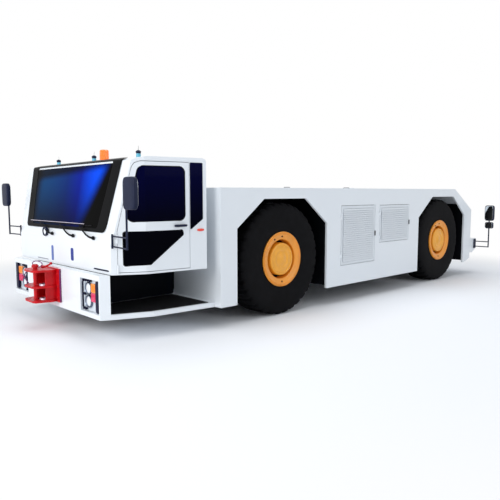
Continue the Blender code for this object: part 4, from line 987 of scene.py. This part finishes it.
# %% Tail lamps and hatch handles
TAIL_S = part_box("rear_bumper_left")[1].y - START_Y
for side_name, side in SIDES:
    def on_tail(u, v, depth):
        return at(side * 1.300 - side * u, TAIL_S + 0.0008 + depth, 0.598 + v)

    frame_plate = plate(rounded_loop(rectangle(-0.180, 0.180, -0.068, 0.068), 0.016),
                        on_tail, 0.010)
    surface(f"tail_lamp_frame_{side_name}", [frame_plate], GASKET, "chassis")
    for lens, paint, low, high in (("red", TAIL_RED, -0.168, -0.060), ("amber", ORANGE_LENS, -0.054, 0.054),
                                   ("white", LAMP_GLASS, 0.060, 0.168)):
        block = plate(rounded_loop(rectangle(low, high, -0.056, 0.056), 0.010),
                      lambda u, v, depth: on_tail(u, v, depth + 0.0095), 0.012, 0.004)
        surface(f"tail_lens_{lens}_{side_name}", [block], paint, "chassis")
handles = []
for station in (3.80, 5.40):
    for x in (-0.42, 0.42):
        share = np.linspace(0, 1, 28)
        lift = 0.030 * np.clip(np.sin(np.pi * share) * 2.4, 0, 1)
        handles.append(tube(at(x - 0.075 + 0.150 * share, station, DECK_TOP + 0.002 + lift), 0.0065, 10))
surface("hatch_handles", handles, STEEL, "engine_hatch_lid")

# %% [markdown]
# ## Camera, light and floor
# The camera stands a little below eye height, ahead of the left front corner, and its angles
# are written as an azimuth, an elevation and a roll. To the camera, in gloss and through glass
# the world is plain white, and so is the floor further out, past where the shadow falls.

# %% Camera
AZIMUTH, ELEVATION, ROLL = (math.radians(angle) for angle in (48.4434, 5.8797, -0.3083))
back_way = Vector((math.sin(AZIMUTH) * math.cos(ELEVATION), -math.cos(AZIMUTH) * math.cos(ELEVATION),
                   math.sin(ELEVATION)))
level_right = (-back_way).cross(Vector((0, 0, 1))).normalized()
level_up = level_right.cross(-back_way)
right_way = level_right * math.cos(ROLL) + level_up * math.sin(ROLL)
up_way = level_up * math.cos(ROLL) - level_right * math.sin(ROLL)
lens = bpy.data.cameras.new("view_camera")
lens.lens = 38.635
lens.sensor_width = 36.0
lens.shift_x = 0.0521
lens.shift_y = 0.0008
lens.clip_end = 200
camera = bpy.data.objects.new("view_camera", lens)
turn = Matrix((right_way, up_way, back_way)).transposed().to_4x4()
camera.matrix_world = Matrix.Translation((6.24700, -6.67523, 1.57868)) @ turn
bpy.context.scene.collection.objects.link(camera)
bpy.context.scene.camera = camera
print("camera at", [round(value, 3) for value in camera.location])


# %% Floor and world
def seen_white(tree, lit):
    """Mixes a lit shader with plain white, which shows to the camera, in gloss and through glass."""
    path = tree.nodes.new("ShaderNodeLightPath")
    white = tree.nodes.new("ShaderNodeEmission")
    white.inputs["Color"].default_value = (1, 1, 1, 1)
    white.inputs["Strength"].default_value = 1.0
    either = tree.nodes.new("ShaderNodeMath")
    either.operation = "MAXIMUM"
    tree.links.new(path.outputs["Is Camera Ray"], either.inputs[0])
    tree.links.new(path.outputs["Is Transmission Ray"], either.inputs[1])
    any_ray = tree.nodes.new("ShaderNodeMath")
    any_ray.operation = "MAXIMUM"
    tree.links.new(either.outputs[0], any_ray.inputs[0])
    tree.links.new(path.outputs["Is Glossy Ray"], any_ray.inputs[1])
    mixed = tree.nodes.new("ShaderNodeMixShader")
    tree.links.new(any_ray.outputs[0], mixed.inputs[0])
    tree.links.new(lit, mixed.inputs[1])
    tree.links.new(white.outputs[0], mixed.inputs[2])
    return mixed.outputs[0]


world = bpy.data.worlds.new("soft_sky")
bpy.context.scene.world = world
world.use_nodes = True
sky = world.node_tree.nodes["Background"]
sky.inputs["Color"].default_value = (0.90, 0.95, 1.0, 1)
sky.inputs["Strength"].default_value = 0.40
world.node_tree.links.new(seen_white(world.node_tree, sky.outputs[0]),
                          world.node_tree.nodes["World Output"].inputs["Surface"])
FLOOR_HALF = 60.0
floor_mesh = bpy.data.meshes.new("pale_floor")
floor_mesh.from_pydata([(-FLOOR_HALF, -FLOOR_HALF, 0), (FLOOR_HALF, -FLOOR_HALF, 0),
                        (FLOOR_HALF, FLOOR_HALF, 0), (-FLOOR_HALF, FLOOR_HALF, 0)], [], [(0, 1, 2, 3)])
floor = bpy.data.objects.new("pale_floor", floor_mesh)
bpy.context.scene.collection.objects.link(floor)
floor_paint = bpy.data.materials.new("pale_floor")
floor_paint.use_nodes = True
floor_shader = floor_paint.node_tree.nodes["Principled BSDF"]
floor_shader.inputs["Base Color"].default_value = (0.93, 0.94, 0.97, 1)
floor_shader.inputs["Roughness"].default_value = 0.9
tree = floor_paint.node_tree
place = tree.nodes.new("ShaderNodeTexCoord")
distance = tree.nodes.new("ShaderNodeVectorMath")
distance.operation = "LENGTH"
tree.links.new(place.outputs["Object"], distance.inputs[0])
fade = tree.nodes.new("ShaderNodeMapRange")
fade.interpolation_type = "SMOOTHSTEP"
fade.inputs["From Min"].default_value = 4.6
fade.inputs["From Max"].default_value = 8.0
tree.links.new(distance.outputs["Value"], fade.inputs["Value"])
blended = tree.nodes.new("ShaderNodeMixShader")
tree.links.new(fade.outputs["Result"], blended.inputs[0])
tree.links.new(floor_shader.outputs[0], blended.inputs[1])
tree.links.new(seen_white(tree, floor_shader.outputs[0]), blended.inputs[2])
tree.links.new(blended.outputs[0], tree.nodes["Material Output"].inputs["Surface"])
floor_mesh.materials.append(floor_paint)
bpy.context.scene.view_settings.view_transform = "Standard"
print("floor half-width", FLOOR_HALF)


# %% Lamps
def soft_lamp(name, place, target, size, power, colour=(1, 1, 1)):
    """A square area lamp at a place, turned to face a target point."""
    data = bpy.data.lights.new(name, "AREA")
    data.shape = "SQUARE"
    data.size = size
    data.energy = power
    data.color = colour
    made = bpy.data.objects.new(name, data)
    way = Vector(place) - Vector(target)
    made.matrix_world = Matrix.Translation(place) @ way.to_track_quat("Z", "Y").to_matrix().to_4x4()
    bpy.context.scene.collection.objects.link(made)
    return made


soft_lamp("front_lamp", (1.5, -13.0, 5.5), (0.0, -2.0, 0.9), 7.0, 820)
soft_lamp("side_lamp", (13.0, 1.5, 6.0), (0.5, 0.5, 0.9), 8.0, 330, (0.94, 0.97, 1.0))
soft_lamp("top_lamp", (0.0, 0.0, 11.0), (0.0, 0.0, 0.0), 9.0, 620, (0.96, 0.98, 1.0))
